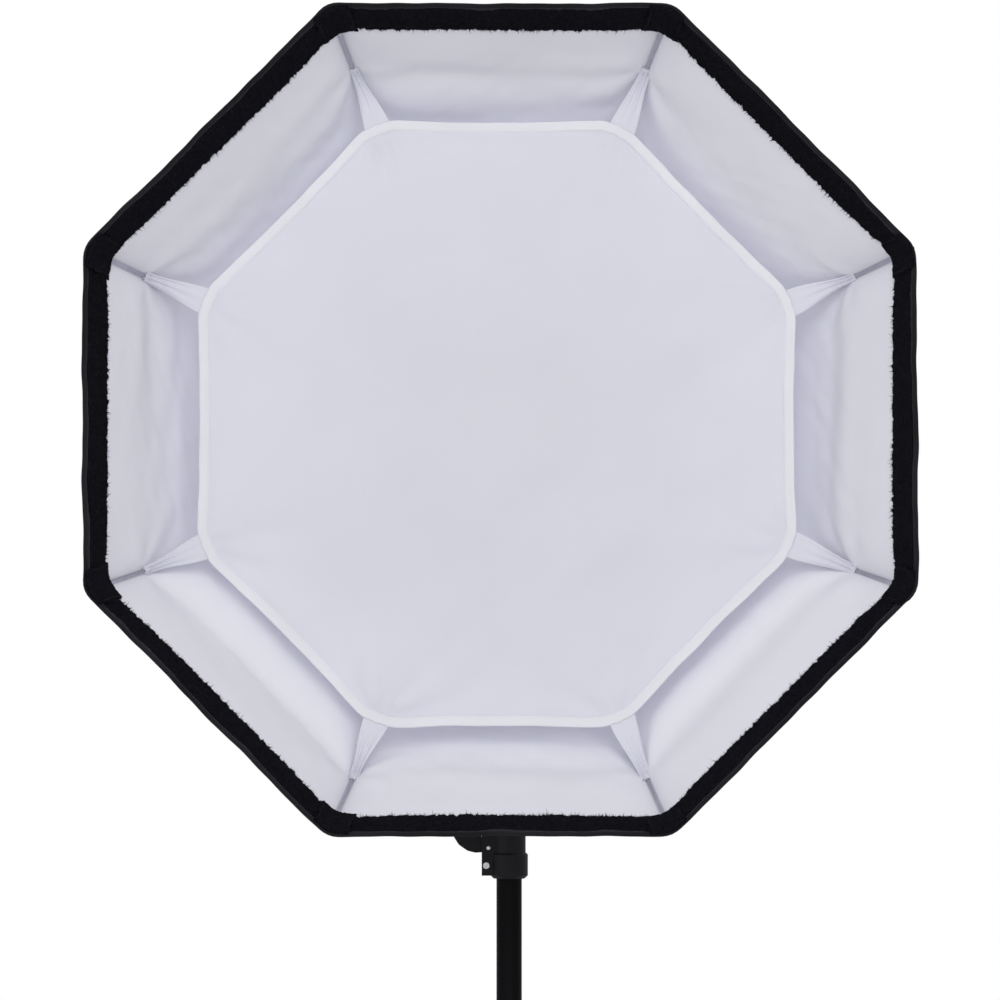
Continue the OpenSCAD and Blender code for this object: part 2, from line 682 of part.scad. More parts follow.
// Steel tubes pressed into the speedring, one for each rod.
module rod_sockets() color("silver") at_head()
    for (i = [0 : sides - 1]) rotate([0, half_step + i * 2 * half_step, 0])
        socket_place() difference() {
            cylinder(r = 3.5, h = 26);
            translate([0, 0, 4]) cylinder(r = rod_d / 2 + 0.7, h = 40);
        }

module rods() color("#9a9ca0") at_head() at_rods()
    arc_bar(arc_front + 0.4, arc_hub - 0.3, rod_d / 2);

module outer_cover() color("#0f0f11") at_head() at_flats()
    panel(cover_in, cover_out, arc_fabric, arc_cuff, fabric_steps, panel_share);

module lining() color("#f2f2f4") at_head() at_flats()
    panel(lining_in, lining_out, arc_fabric, arc_cuff, fabric_steps, panel_share);

module rim_binding() color("#1b1b1e") at_head() translate([0, rim_y - 1.8, 0])
    octagon_ring(front_r, front_r - 7, 3.6);

// Loop tape round the inside of the front edge.
module loop_tape() color("#08080a") at_head() at_flats()
    panel(tape_in, tape_out, arc_fabric, arc_fabric + tape_w / arc_r * 180 / PI, 3);

// Reinforced pockets that hold the rod tips, shaped to the corner between two panels.
module corner_pockets() color("#08080a") at_head() at_rods() difference() {
    translate([arc_centre[1], arc_centre[0], 0]) rotate([0, 0, arc_pocket])
        rotate_extrude(angle = 3, $fn = 128) translate([arc_r, 0])
            polygon([[-5.4, -13], [-5.4, 13], [-3.2, 13], [1.9, 0], [-3.2, -13]]);
    arc_bar(arc_front - 1, arc_front + 8, rod_d / 2 + 1.1);
}

module inner_diffuser() color("#f4f4f6") at_head() translate([0, rim_y + diffuser_depth, 0])
    octagon_ring(diffuser_r - 10.5, 0.01, 1);

module diffuser_hem() color("#ffffff") at_head() translate([0, rim_y + diffuser_depth - 0.5, 0])
    octagon_ring(diffuser_r, diffuser_r - 10.3, 2);

// Elastic straps from the diffuser's corners, each with a loop round its rod.
module diffuser_straps() color("#f4f4f6") at_head() at_rods() {
    translate([diffuser_r - 8, diffuser_depth + 1.5, -12]) cube([rod_mid_r - diffuser_r + 5, 1, 24]);
    difference() {
        mid = angle_at(diffuser_depth);
        arc_bar(mid - 1.4, mid + 1.4, rod_d / 2 + 1.4);
        arc_bar(mid - 3, mid + 3, rod_d / 2 + 0.3);
    }
}

// Elastic cuff that closes the fabric round the speedring.
module rear_cuff() color("#0f0f11") at_head() rotate([-90, 0, 0]) rotate_extrude($fn = 96)
    polygon([[118.5, -90.2], [93.8, -82.2], [92.4, -82.2], [92.4, -79.8], [94.4, -79.8], [118.9, -88.7]]);

module rotation_lock() color("#141416") at_head() translate([0, -73, insert_r + 1]) {
    cylinder(r = 2.5, h = 22);
    translate([0, 0, 17]) grip(6, 11, 8);
}

// ---------------------------------------------------------------- nodes

base_column();
column_plug();
brace_collar();
lower_lock_collar();
lower_lock_screws();
leg_collar();
leg_collar_rivets();
leg_collar_knob();
leg(1);  // leg_1
leg(2);  // leg_2
leg(3);  // leg_3
foot(1);  // foot_1
foot(2);  // foot_2
foot(3);  // foot_3
brace(1);  // brace_1
brace(2);  // brace_2
brace(3);  // brace_3
lower_lock_lever();
mid_tube();
mid_bush();
upper_lock_collar();
upper_lock_screws();
upper_lock_lever();
top_tube();
top_bush();
spigot();
tilt_base();
socket_knob();
tilt_lever();
bracket_body();
bracket_ring();
top_yoke();
guide_rods();
lower_jaw();
lower_pad();
tilt_bolt();
bracket_screws();
bayonet_insert();
retaining_ring();
latch_bush();
umbrella_knob();
upper_jaw();
upper_pad();
clamp_knob();
latch_pin();
latch_spring();
speedring();
rod_sockets();
rods();
outer_cover();
lining();
rim_binding();
loop_tape();
corner_pockets();
inner_diffuser();
diffuser_hem();
diffuser_straps();
rear_cuff();
rotation_lock();
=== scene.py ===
"""Looks of an octagonal studio softbox on a light stand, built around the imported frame.

Metres, +Z up, the softbox faces -Y. Cloth is made of closed sheets that follow the curved rods.
"""

import json
import math

import bmesh
import bpy
import numpy as np
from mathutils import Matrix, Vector

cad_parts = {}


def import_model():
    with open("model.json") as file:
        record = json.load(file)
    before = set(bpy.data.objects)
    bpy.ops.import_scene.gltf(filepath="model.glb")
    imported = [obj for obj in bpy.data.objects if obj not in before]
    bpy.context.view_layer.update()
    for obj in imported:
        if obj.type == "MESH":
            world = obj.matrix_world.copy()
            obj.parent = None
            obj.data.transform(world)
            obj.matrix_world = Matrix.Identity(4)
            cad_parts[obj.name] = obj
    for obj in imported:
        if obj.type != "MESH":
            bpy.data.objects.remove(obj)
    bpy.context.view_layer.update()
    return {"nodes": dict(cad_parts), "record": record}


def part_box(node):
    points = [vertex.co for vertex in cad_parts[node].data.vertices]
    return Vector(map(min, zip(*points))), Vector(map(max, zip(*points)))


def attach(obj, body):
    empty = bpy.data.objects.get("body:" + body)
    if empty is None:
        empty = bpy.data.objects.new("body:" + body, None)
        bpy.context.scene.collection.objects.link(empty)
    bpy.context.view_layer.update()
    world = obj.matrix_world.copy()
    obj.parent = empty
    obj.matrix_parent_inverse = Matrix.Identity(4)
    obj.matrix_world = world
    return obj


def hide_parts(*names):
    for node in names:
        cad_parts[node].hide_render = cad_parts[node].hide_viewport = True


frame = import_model()

# ---------------------------------------------------------------- places and sizes

BODY = "softbox"
SIDES = 8
STEP = 2 * math.pi / SIDES
FLAT = math.cos(STEP / 2)  # a side's distance over a corner's
TAN = math.tan(STEP / 2)  # half a side over its distance
SLANT = math.sin(STEP / 2)  # how steeply each side leaves a corner

RIM_LOW, RIM_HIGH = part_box("rim_binding")
AXIS_X = (RIM_LOW.x + RIM_HIGH.x) / 2
AXIS_Z = (RIM_LOW.z + RIM_HIGH.z) / 2
RIM_Y = (RIM_LOW.y + RIM_HIGH.y) / 2
FRONT_R = (RIM_HIGH.x - RIM_LOW.x) / 2 / FLAT

DIFFUSER_LOW, DIFFUSER_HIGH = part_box("inner_diffuser")
HEM_LOW, HEM_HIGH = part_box("diffuser_hem")
DIFFUSER_DEPTH = (DIFFUSER_LOW.y + DIFFUSER_HIGH.y) / 2 - RIM_Y
HEM_R = (HEM_HIGH.x - HEM_LOW.x) / 2 / FLAT
HEM_SHIFT = -0.003  # the straps hold the diffuser a little off the axis
HEM_STRETCH = 1.016  # and a little taller than wide
CUFF_LOW, CUFF_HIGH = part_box("rear_cuff")
RING_LOW, RING_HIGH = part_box("speedring")

# Each rod is one arc through the front edge, the diffuser and the speedring.
ROD_RADIUS = 0.002
ROD_FRONT_R = FRONT_R - 0.0062
ROD_MID_R = 0.352
HUB_R = 0.085
BOX_DEPTH = 0.300
MID_DEPTH = 0.100
CLOTH_START = 0.0035  # the cloth begins behind the front edge
CLOTH_END_R = (CUFF_HIGH.x - CUFF_LOW.x) / 2  # and ends where the cuff begins
CUFF_LAP = 0.0045  # the cuff's edge lies over the cover's end
CUFF_WIDTH = 0.026

# Cloth layers, outward from a rod's centre line.
LINING_OFFSET = 0.0040
LINING_THICK = 0.0005
LAYER_GAP = 0.0012  # from the lining's inner face to the cover's
COVER_THICK = 0.0007
LINING_SHORT = 3  # rows by which the lining stops before the cover does
TAPE_FROM = 0.0010
TAPE_TO = 0.0275
# How much further or less far the tape reaches on each side, from the right side anticlockwise.
TAPE_REACH = np.array([-0.0014, -0.0033, 0.0047, 0.0039, 0.0023, 0.0002, -0.0041, -0.0049])


def circle_centre(a, b, c):
    """Centre of the circle through three points of a plane."""
    d = 2 * (a[0] * (b[1] - c[1]) + b[0] * (c[1] - a[1]) + c[0] * (a[1] - b[1]))
    a2, b2, c2 = (p[0] ** 2 + p[1] ** 2 for p in (a, b, c))
    x = (a2 * (b[1] - c[1]) + b2 * (c[1] - a[1]) + c2 * (a[1] - b[1])) / d
    y = (a2 * (c[0] - b[0]) + b2 * (a[0] - c[0]) + c2 * (b[0] - a[0])) / d
    return x, y


ARC_DEPTH, ARC_OUT = circle_centre((0, ROD_FRONT_R), (MID_DEPTH, ROD_MID_R), (BOX_DEPTH, HUB_R))
ARC_R = math.hypot(-ARC_DEPTH, ROD_FRONT_R - ARC_OUT)


def arc_angle(depth):
    """Angle along a rod's arc at a depth behind the front edge."""
    return math.asin((depth - ARC_DEPTH) / ARC_R)


def arc_point(angle, offset=0.0):
    """Depth and radius on the arc, moved outward by an offset."""
    return ARC_DEPTH + (ARC_R + offset) * np.sin(angle), ARC_OUT + (ARC_R + offset) * np.cos(angle)


def chord(depth, offset):
    """A straight side's distance from the axis at a depth, for a cloth layer."""
    return FLAT * (ARC_OUT + np.sqrt((ARC_R + offset) ** 2 - (depth - ARC_DEPTH) ** 2))


def world(depth, side_angle, out, along):
    """Points from depth, distance out along a side's direction and distance along the side."""
    return np.stack(
        [
            AXIS_X + np.cos(side_angle) * out - np.sin(side_angle) * along,
            RIM_Y + depth + 0 * out,
            AXIS_Z + np.sin(side_angle) * out + np.cos(side_angle) * along,
        ],
        axis=-1,
    )


# ---------------------------------------------------------------- mesh building


def smooth_step(x):
    x = np.clip(x, 0, 1)
    return x * x * (3 - 2 * x)


def make_object(name, points, faces, material, uvs=None):
    """A closed mesh from points and faces, with UVs in metres, one pair for each face corner."""
    mesh = bpy.data.meshes.new(name)
    mesh.from_pydata(points.tolist(), [], faces)
    if uvs is not None:
        layer = mesh.uv_layers.new(name="cloth")
        layer.data.foreach_set("uv", np.asarray(uvs, np.float32).ravel())
    solid = bmesh.new()
    solid.from_mesh(mesh)
    bmesh.ops.recalc_face_normals(solid, faces=solid.faces)
    solid.to_mesh(mesh)
    solid.free()
    mesh.materials.append(material)
    mesh.shade_smooth()
    piece = bpy.data.objects.new(name, mesh)
    bpy.context.scene.collection.objects.link(piece)
    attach(piece, BODY)
    return piece


def grid_normals(grid, wrap):
    """Unit normals of a grid of points; wrap joins its last column to its first."""
    down = np.gradient(grid, axis=0)
    across = np.roll(grid, -1, 1) - np.roll(grid, 1, 1) if wrap else np.gradient(grid, axis=1)
    normal = np.cross(down, across)
    return normal / np.maximum(np.linalg.norm(normal, axis=-1, keepdims=True), 1e-12)


def push(grid, distance, wrap):
    """The grid moved along its normals, away from the softbox's axis for a positive distance."""
    normal = grid_normals(grid, wrap)
    middle = np.array([AXIS_X, 0, AXIS_Z])
    outward = np.sum(normal * (grid - middle) * [1, 0, 1], axis=-1, keepdims=True)
    side = np.sign(np.mean(outward))
    each = distance[..., None] if np.ndim(distance) else distance
    return grid + normal * side * each


def slab(name, near, far, uv, material, wrap=False):
    """A closed sheet between two grids of points. uv has one more column than a wrapped grid."""
    rows, cols = near.shape[:2]
    index = np.arange(rows * cols).reshape(rows, cols)
    spans = cols if wrap else cols - 1
    left = np.arange(spans)
    back = rows * cols
    corners = []
    quads = []

    def add(r0, c0, r1, c1, r2, c2, r3, c3, layers):
        quad = [index[r % rows, c % cols] + back * layer for r, c, layer in zip(
            (r0, r1, r2, r3), (c0, c1, c2, c3), layers)]
        quads.append(np.stack([q.ravel() for q in np.broadcast_arrays(*quad)], -1))
        pairs = [uv[r, c] for r, c in zip((r0, r1, r2, r3), (c0, c1, c2, c3))]
        corners.append(np.stack([p.reshape(-1, 2) for p in np.broadcast_arrays(*pairs)], 1))

    r = np.arange(rows - 1)[:, None]
    c = left[None, :]
    for layer in (0, 1):
        add(r, c, r, c + 1, r + 1, c + 1, r + 1, c, (layer,) * 4)
    for row in (0, rows - 1):
        first = np.full(spans, row)
        add(first, left, first, left + 1, first, left + 1, first, left, (0, 0, 1, 1))
    if not wrap:
        for col in (0, cols - 1):
            rr = np.arange(rows - 1)
            side = np.full(rows - 1, col)
            add(rr, side, rr + 1, side, rr + 1, side, rr, side, (0, 0, 1, 1))
    points = np.concatenate([near.reshape(-1, 3), far.reshape(-1, 3)])
    faces = np.concatenate(quads).tolist()
    return make_object(name, points, faces, material, np.concatenate(corners).reshape(-1, 2))


def loft(name, rings, lengths, around, material):
    """A closed loop of tube through rings of points; lengths and around give its UVs in metres."""
    stations, count = rings.shape[:2]
    index = np.arange(stations * count).reshape(stations, count)
    s = np.arange(stations)[:, None]
    j = np.arange(count)[None, :]
    quad = [
        index[s % stations, j % count],
        index[s % stations, (j + 1) % count],
        index[(s + 1) % stations, (j + 1) % count],
        index[(s + 1) % stations, j % count],
    ]
    faces = np.stack([q.ravel() for q in quad], -1).tolist()
    lengths = np.append(lengths, 2 * lengths[-1] - lengths[-2])
    around = np.append(around, 2 * around[-1] - around[-2])
    u = [lengths[s], lengths[s], lengths[s + 1], lengths[s + 1]]
    v = [around[j], around[j + 1], around[j + 1], around[j]]
    uvs = np.stack([np.stack(np.broadcast_arrays(a, b), -1) for a, b in zip(u, v)], 2)
    return make_object(name, rings.reshape(-1, 3), faces, material, uvs.reshape(-1, 2))


def waves(rng, count, longest, shortest, height, lean=math.pi):
    """A random sum of sines: a function of two lengths in metres."""
    size = np.exp(rng.uniform(math.log(shortest), math.log(longest), count))
    turn = rng.uniform(-lean, lean, count)
    phase = rng.uniform(0, 2 * math.pi, count)
    share = height * np.sqrt(size / longest)

    def at(a, b):
        total = 0 * a + 0 * b
        for k in range(count):
            run = a * math.cos(turn[k]) + b * math.sin(turn[k])
            total = total + share[k] * np.sin(2 * math.pi * run / size[k] + phase[k])
        return total / math.sqrt(count)

    return at


def pods(name, centres, directions, ups, length, width, material):
    """Stitches: short rounded lozenges of thread, each closed."""
    ring = 6
    steps = ((-0.36, 0.85), (0.36, 0.85))
    turn = np.arange(ring) * 2 * math.pi / ring
    local = [(-0.5, 0, 0)]
    for at, thick in steps:
        local += [(at, thick * math.cos(t) / 2, thick * math.sin(t) / 2) for t in turn]
    local.append((0.5, 0, 0))
    local = np.array(local)
    last = len(local) - 1
    faces = [(0, 1 + (i + 1) % ring, 1 + i) for i in range(ring)]
    faces += [(1 + i, 1 + (i + 1) % ring, 1 + ring + (i + 1) % ring, 1 + ring + i) for i in range(ring)]
    faces += [(1 + ring + i, 1 + ring + (i + 1) % ring, last) for i in range(ring)]
    along = directions / np.linalg.norm(directions, axis=1, keepdims=True)
    side = np.cross(along, ups)
    side /= np.linalg.norm(side, axis=1, keepdims=True)
    up = np.cross(side, along)
    points = (
        centres[:, None, :]
        + along[:, None, :] * local[None, :, :1] * length
        + side[:, None, :] * local[None, :, 1:2] * width
        + up[:, None, :] * local[None, :, 2:] * width
    ).reshape(-1, 3)
    every = [[v + n * len(local) for v in f] for n in range(len(centres)) for f in faces]
    return make_object(name, points, every, material)


def stitch_line(line, ups, pitch):
    """Centres, directions and up vectors of stitches along a line of points."""
    step = np.linalg.norm(np.diff(line, axis=0), axis=1)
    run = np.concatenate([[0], np.cumsum(step)])
    at = np.arange(pitch / 2, run[-1], pitch)

    def sample(values, where):
        return np.stack([np.interp(where, run, values[:, k]) for k in range(3)], -1)

    return sample(line, at), sample(line, at + pitch / 4) - sample(line, at - pitch / 4), sample(ups, at)


# ---------------------------------------------------------------- materials


def new_material(name, colour, roughness, metallic=0.0, specular=0.5):
    material = bpy.data.materials.new(name)
    material.use_nodes = True
    tree = material.node_tree
    shader = tree.nodes["Principled BSDF"]
    shader.inputs["Base Color"].default_value = (*colour, 1)
    shader.inputs["Roughness"].default_value = roughness
    shader.inputs["Metallic"].default_value = metallic
    shader.inputs["Specular IOR Level"].default_value = specular
    return material, tree, shader


def node(tree, kind, inputs=None, **settings):
    """A new node with its settings and its unlinked input values."""
    made = tree.nodes.new(kind)
    for key, value in settings.items():
        setattr(made, key, value)
    for key, value in (inputs or {}).items():
        made.inputs[key].default_value = value
    return made


def math_node(tree, operation, first, second=None):
    made = tree.nodes.new("ShaderNodeMath")
    made.operation = operation
    for socket, value in zip(made.inputs, (first, second)):
        if value is None:
            continue
        if isinstance(value, (int, float)):
            socket.default_value = value
        else:
            tree.links.new(value, socket)
    return made.outputs[0]


def place_noise(tree, scale, detail=4.0, roughness=0.55, stretch=None):
    """Noise in the piece's own metres."""
    where = node(tree, "ShaderNodeTexCoord").outputs["Object"]
    if stretch:
        mapping = node(tree, "ShaderNodeMapping")
        mapping.inputs["Scale"].default_value = stretch
        tree.links.new(where, mapping.inputs["Vector"])
        where = mapping.outputs["Vector"]
    noise = node(tree, "ShaderNodeTexNoise", {"Scale": scale, "Detail": detail, "Roughness": roughness})
    tree.links.new(where, noise.inputs["Vector"])
    return noise.outputs["Fac"]


def tint(tree, shader, dark, light, factor, low=0.35, high=0.65):
    """Colour between dark and light by a factor, into the base colour. Returns the colour."""
    ramp = node(tree, "ShaderNodeMapRange", {"From Min": low, "From Max": high})
    tree.links.new(factor, ramp.inputs["Value"])
    mix = node(tree, "ShaderNodeMix", data_type="RGBA")
    mix.inputs["A"].default_value = (*dark, 1)
    mix.inputs["B"].default_value = (*light, 1)
    tree.links.new(ramp.outputs["Result"], mix.inputs["Factor"])
    tree.links.new(mix.outputs["Result"], shader.inputs["Base Color"])
    return mix.outputs["Result"]


def bump(tree, shader, height, distance, strength=1.0, under=None):
    made = node(tree, "ShaderNodeBump", {"Strength": strength, "Distance": distance})
    tree.links.new(height, made.inputs["Height"])
    if under is not None:
        tree.links.new(under, made.inputs["Normal"])
    tree.links.new(made.outputs["Normal"], shader.inputs["Normal"])
    return made.outputs["Normal"]


def scale_colour(colour, share):
    return tuple(c * share for c in colour)


def weave_height(tree, pitch):
    """Height of a plain weave: warp and weft threads that pass over each other in turn."""
    uv = node(tree, "ShaderNodeUVMap", uv_map="cloth")
    parts = node(tree, "ShaderNodeSeparateXYZ")
    tree.links.new(uv.outputs["UV"], parts.inputs["Vector"])
    u = math_node(tree, "MULTIPLY", parts.outputs["X"], math.pi / pitch)
    v = math_node(tree, "MULTIPLY", parts.outputs["Y"], math.pi / pitch)
    warp = math_node(tree, "ABSOLUTE", math_node(tree, "SINE", u))
    weft = math_node(tree, "ABSOLUTE", math_node(tree, "SINE", v))
    half_u = math_node(tree, "SINE", math_node(tree, "ADD", u, math.pi / 2))
    half_v = math_node(tree, "SINE", math_node(tree, "ADD", v, math.pi / 2))
    over = math_node(tree, "MULTIPLY", half_u, half_v)
    swap = math_node(tree, "MULTIPLY", math_node(tree, "ADD", over, 1.0), 0.5)
    first = math_node(tree, "MULTIPLY", warp, swap)
    second = math_node(tree, "MULTIPLY", weft, math_node(tree, "SUBTRACT", 1.0, swap))
    return math_node(tree, "ADD", first, second)


def cloth_material(name, colour, pitch, depth, spread=0.05, rough=0.85, sheen=0.15, crumple=0.0004,
                   specular=0.25, through=0.0):
    """Woven cloth: thread bump, faint uneven colour, small crumples and a soft sheen. through is
    the share of the light that the cloth lets pass."""
    material, tree, shader = new_material(name, colour, rough, specular=specular)
    shader.inputs["Sheen Weight"].default_value = sheen
    shader.inputs["Sheen Roughness"].default_value = 0.5
    patch = place_noise(tree, 14.0, 3.0)
    tinted = tint(tree, shader, scale_colour(colour, 1 - spread), scale_colour(colour, 1 + spread), patch)
    soft = bump(tree, shader, place_noise(tree, 60.0, 5.0), crumple, 0.6)
    bump(tree, shader, weave_height(tree, pitch), depth, 0.6, soft)
    if through:
        glow = node(tree, "ShaderNodeBsdfTranslucent")
        tree.links.new(tinted, glow.inputs["Color"])
        mix = node(tree, "ShaderNodeMixShader", {"Fac": through})
        tree.links.new(shader.outputs["BSDF"], mix.inputs[1])
        tree.links.new(glow.outputs["BSDF"], mix.inputs[2])
        tree.links.new(mix.outputs["Shader"], tree.nodes["Material Output"].inputs["Surface"])
    return material


def pile_material(name, colour):
    """Loop pile: dark, matt and clumpy."""
    material, tree, shader = new_material(name, colour, 1.0, specular=0.04)
    clump = place_noise(tree, 420.0, 6.0, 0.7)
    tint(tree, shader, scale_colour(colour, 0.5), scale_colour(colour, 1.9), clump)
    bump(tree, shader, clump, 0.0012, 1.0)
    return material


def moulded_material(name, colour, rough, grain, worn, specular=0.25):
    """Moulded or painted part: fine grain, uneven gloss and lighter rubbed edges."""
    material, tree, shader = new_material(name, colour, rough, specular=specular)
    patch = place_noise(tree, 30.0, 4.0)
    edge = node(tree, "ShaderNodeBevel", {"Radius": 0.0008}, samples=4)
    plain = node(tree, "ShaderNodeNewGeometry")
    apart = node(tree, "ShaderNodeVectorMath", operation="DOT_PRODUCT")
    tree.links.new(edge.outputs["Normal"], apart.inputs[0])
    tree.links.new(plain.outputs["Normal"], apart.inputs[1])
    rubbed = math_node(tree, "MULTIPLY", math_node(tree, "SUBTRACT", 1.0, apart.outputs["Value"]), 6.0)
    rubbed = math_node(tree, "MULTIPLY", math_node(tree, "MINIMUM", rubbed, 1.0), patch)
    base = tint(tree, shader, scale_colour(colour, 0.85), scale_colour(colour, 1.2), patch)
    wear = node(tree, "ShaderNodeMix", data_type="RGBA")
    wear.inputs["B"].default_value = (*worn, 1)
    tree.links.new(rubbed, wear.inputs["Factor"])
    tree.links.new(base, wear.inputs["A"])
    tree.links.new(wear.outputs["Result"], shader.inputs["Base Color"])
    gloss = node(tree, "ShaderNodeMapRange", {"To Min": rough - 0.07, "To Max": rough + 0.1})
    tree.links.new(patch, gloss.inputs["Value"])
    tree.links.new(gloss.outputs["Result"], shader.inputs["Roughness"])
    bump(tree, shader, place_noise(tree, grain, 3.0), 0.00012, 0.5, edge.outputs["Normal"])
    return material


def metal_material(name, colour, rough, brushed, metallic=1.0, specular=0.5):
    """Bare or anodised metal: fine drawn lines, faint stains and eased edges."""
    material, tree, shader = new_material(name, colour, rough, metallic, specular)
    lines = place_noise(tree, brushed[3], 4.0, 0.6, brushed[:3])
    stain = place_noise(tree, 22.0, 3.0)
    tint(tree, shader, scale_colour(colour, 0.8), scale_colour(colour, 1.12), stain, 0.3, 0.7)
    gloss = node(tree, "ShaderNodeMapRange", {"To Min": rough - 0.08, "To Max": rough + 0.12})
    tree.links.new(lines, gloss.inputs["Value"])
    tree.links.new(gloss.outputs["Result"], shader.inputs["Roughness"])
    edge = node(tree, "ShaderNodeBevel", {"Radius": 0.0005}, samples=4)
    bump(tree, shader, lines, 0.00005, 0.4, edge.outputs["Normal"])
    return material


def make_materials():
    """Every slot's material: its maker, then the maker's own arguments in order."""
    looks = {
        "black_tube": (metal_material, (0.0036, 0.0034, 0.0046), 0.42, (8, 8, 0.4, 90), 0.0, 0.06),
        "black_nylon": (moulded_material, (0.0100, 0.0095, 0.0135), 0.5, 900.0, (0.035, 0.035, 0.04), 0.18),
        "black_rubber": (moulded_material, (0.010, 0.010, 0.0105), 0.85, 500.0, (0.02, 0.02, 0.02), 0.15),
        "bush_plastic": (moulded_material, (0.03, 0.03, 0.034), 0.5, 700.0, (0.06, 0.06, 0.06)),
        "brace_steel": (moulded_material, (0.012, 0.012, 0.014), 0.45, 1200.0, (0.12, 0.12, 0.12)),
        "bright_steel": (metal_material, (0.62, 0.62, 0.63), 0.28, (3, 3, 3, 300)),
        "bracket_black": (moulded_material, (0.011, 0.011, 0.013), 0.55, 1500.0, (0.09, 0.09, 0.09)),
        "ring_aluminium": (metal_material, (0.55, 0.56, 0.57), 0.33, (2, 12, 2, 160)),
        "rod_steel": (metal_material, (0.52, 0.52, 0.58), 0.34, (3, 3, 3, 200)),
        "cover_fabric": (
            cloth_material, (0.0095, 0.0092, 0.012), 0.00045, 0.0001, 0.25, 0.72, 0.05, 0.0006, 0.15),
        "lining_fabric": (
            cloth_material, (0.785, 0.785, 0.845), 0.00035, 0.00006, 0.01, 0.85, 0.0, 0.0004, 0.15),
        "binding_fabric": (
            cloth_material, (0.0088, 0.0084, 0.0112), 0.0009, 0.0002, 0.35, 0.8, 0.05, 0.0007, 0.15),
        "loop_fabric": (pile_material, (0.0052, 0.0049, 0.0072)),
        "diffuser_fabric": (
            cloth_material, (0.965, 0.965, 0.995), 0.0003, 0.00004, 0.006, 0.9, 0.0, 0.0002, 0.1, 0.62),
        "hem_fabric": (
            cloth_material, (0.865, 0.865, 0.91), 0.0006, 0.00012, 0.015, 0.85, 0.0, 0.0003, 0.1, 0.15),
        "strap_fabric": (
            cloth_material, (0.80, 0.80, 0.87), 0.0004, 0.00008, 0.015, 0.85, 0.0, 0.0004, 0.1, 0.2),
    }
    return {name: maker(name, *settings) for name, (maker, *settings) in looks.items()}


# ---------------------------------------------------------------- cloth between the rods

# How far each side's cloth is pulled in at the diffuser, from the right side anticlockwise.
PULLS = np.array([0.0150, 0.0180, 0.0070, 0.0105, 0.0075, 0.0070, 0.0120, 0.0180])
# How steeply each side's cloth closes in just behind its fold.
FOLD_SLOPES = np.array([-0.52, -0.92, -1.05, -0.66, -0.40, -2.10, -0.95, -1.50])
FOLD_ENDS = 0.19  # depth at which the cloth is back on its chord
END_REACH = 0.017  # how fast the fold runs out to the rods
CREASE = 0.0012  # how round the fold is


def pulled_in(depth, offset, pull, slope):
    """How far inside its chord the middle of a side lies: a straight strip from the front edge to
    the fold, then a curve back to the chord."""
    fold = chord(MID_DEPTH, offset) - pull
    front = chord(0.0, offset)
    strip = front + (fold - front) * depth / MID_DEPTH
    span = FOLD_ENDS - MID_DEPTH
    t = np.clip((depth - MID_DEPTH) / span, 0, 1)
    last = chord(FOLD_ENDS, offset)
    last_slope = (chord(FOLD_ENDS + 0.001, offset) - last) / 0.001
    curve = (
        (2 * t**3 - 3 * t**2 + 1) * fold
        + (t**3 - 2 * t**2 + t) * span * slope
        + (3 * t**2 - 2 * t**3) * last
        + (t**3 - t**2) * span * last_slope
    )
    curve = np.where(depth < MID_DEPTH, fold + slope * (depth - MID_DEPTH), curve)
    curve = np.where(depth > FOLD_ENDS, chord(depth, offset), curve)
    gap = (strip - curve) / 2
    bend = np.where(slope > (fold - front) / MID_DEPTH, 1.0, -1.0)
    merged = (strip + curve) / 2 + bend * np.sqrt(gap**2 + CREASE**2)
    fade = 1 - smooth_step((depth - MID_DEPTH - span / 2) * 2 / span)
    result = np.where(depth < MID_DEPTH, merged, curve + (merged - curve) * fade)
    return chord(depth, offset) - result


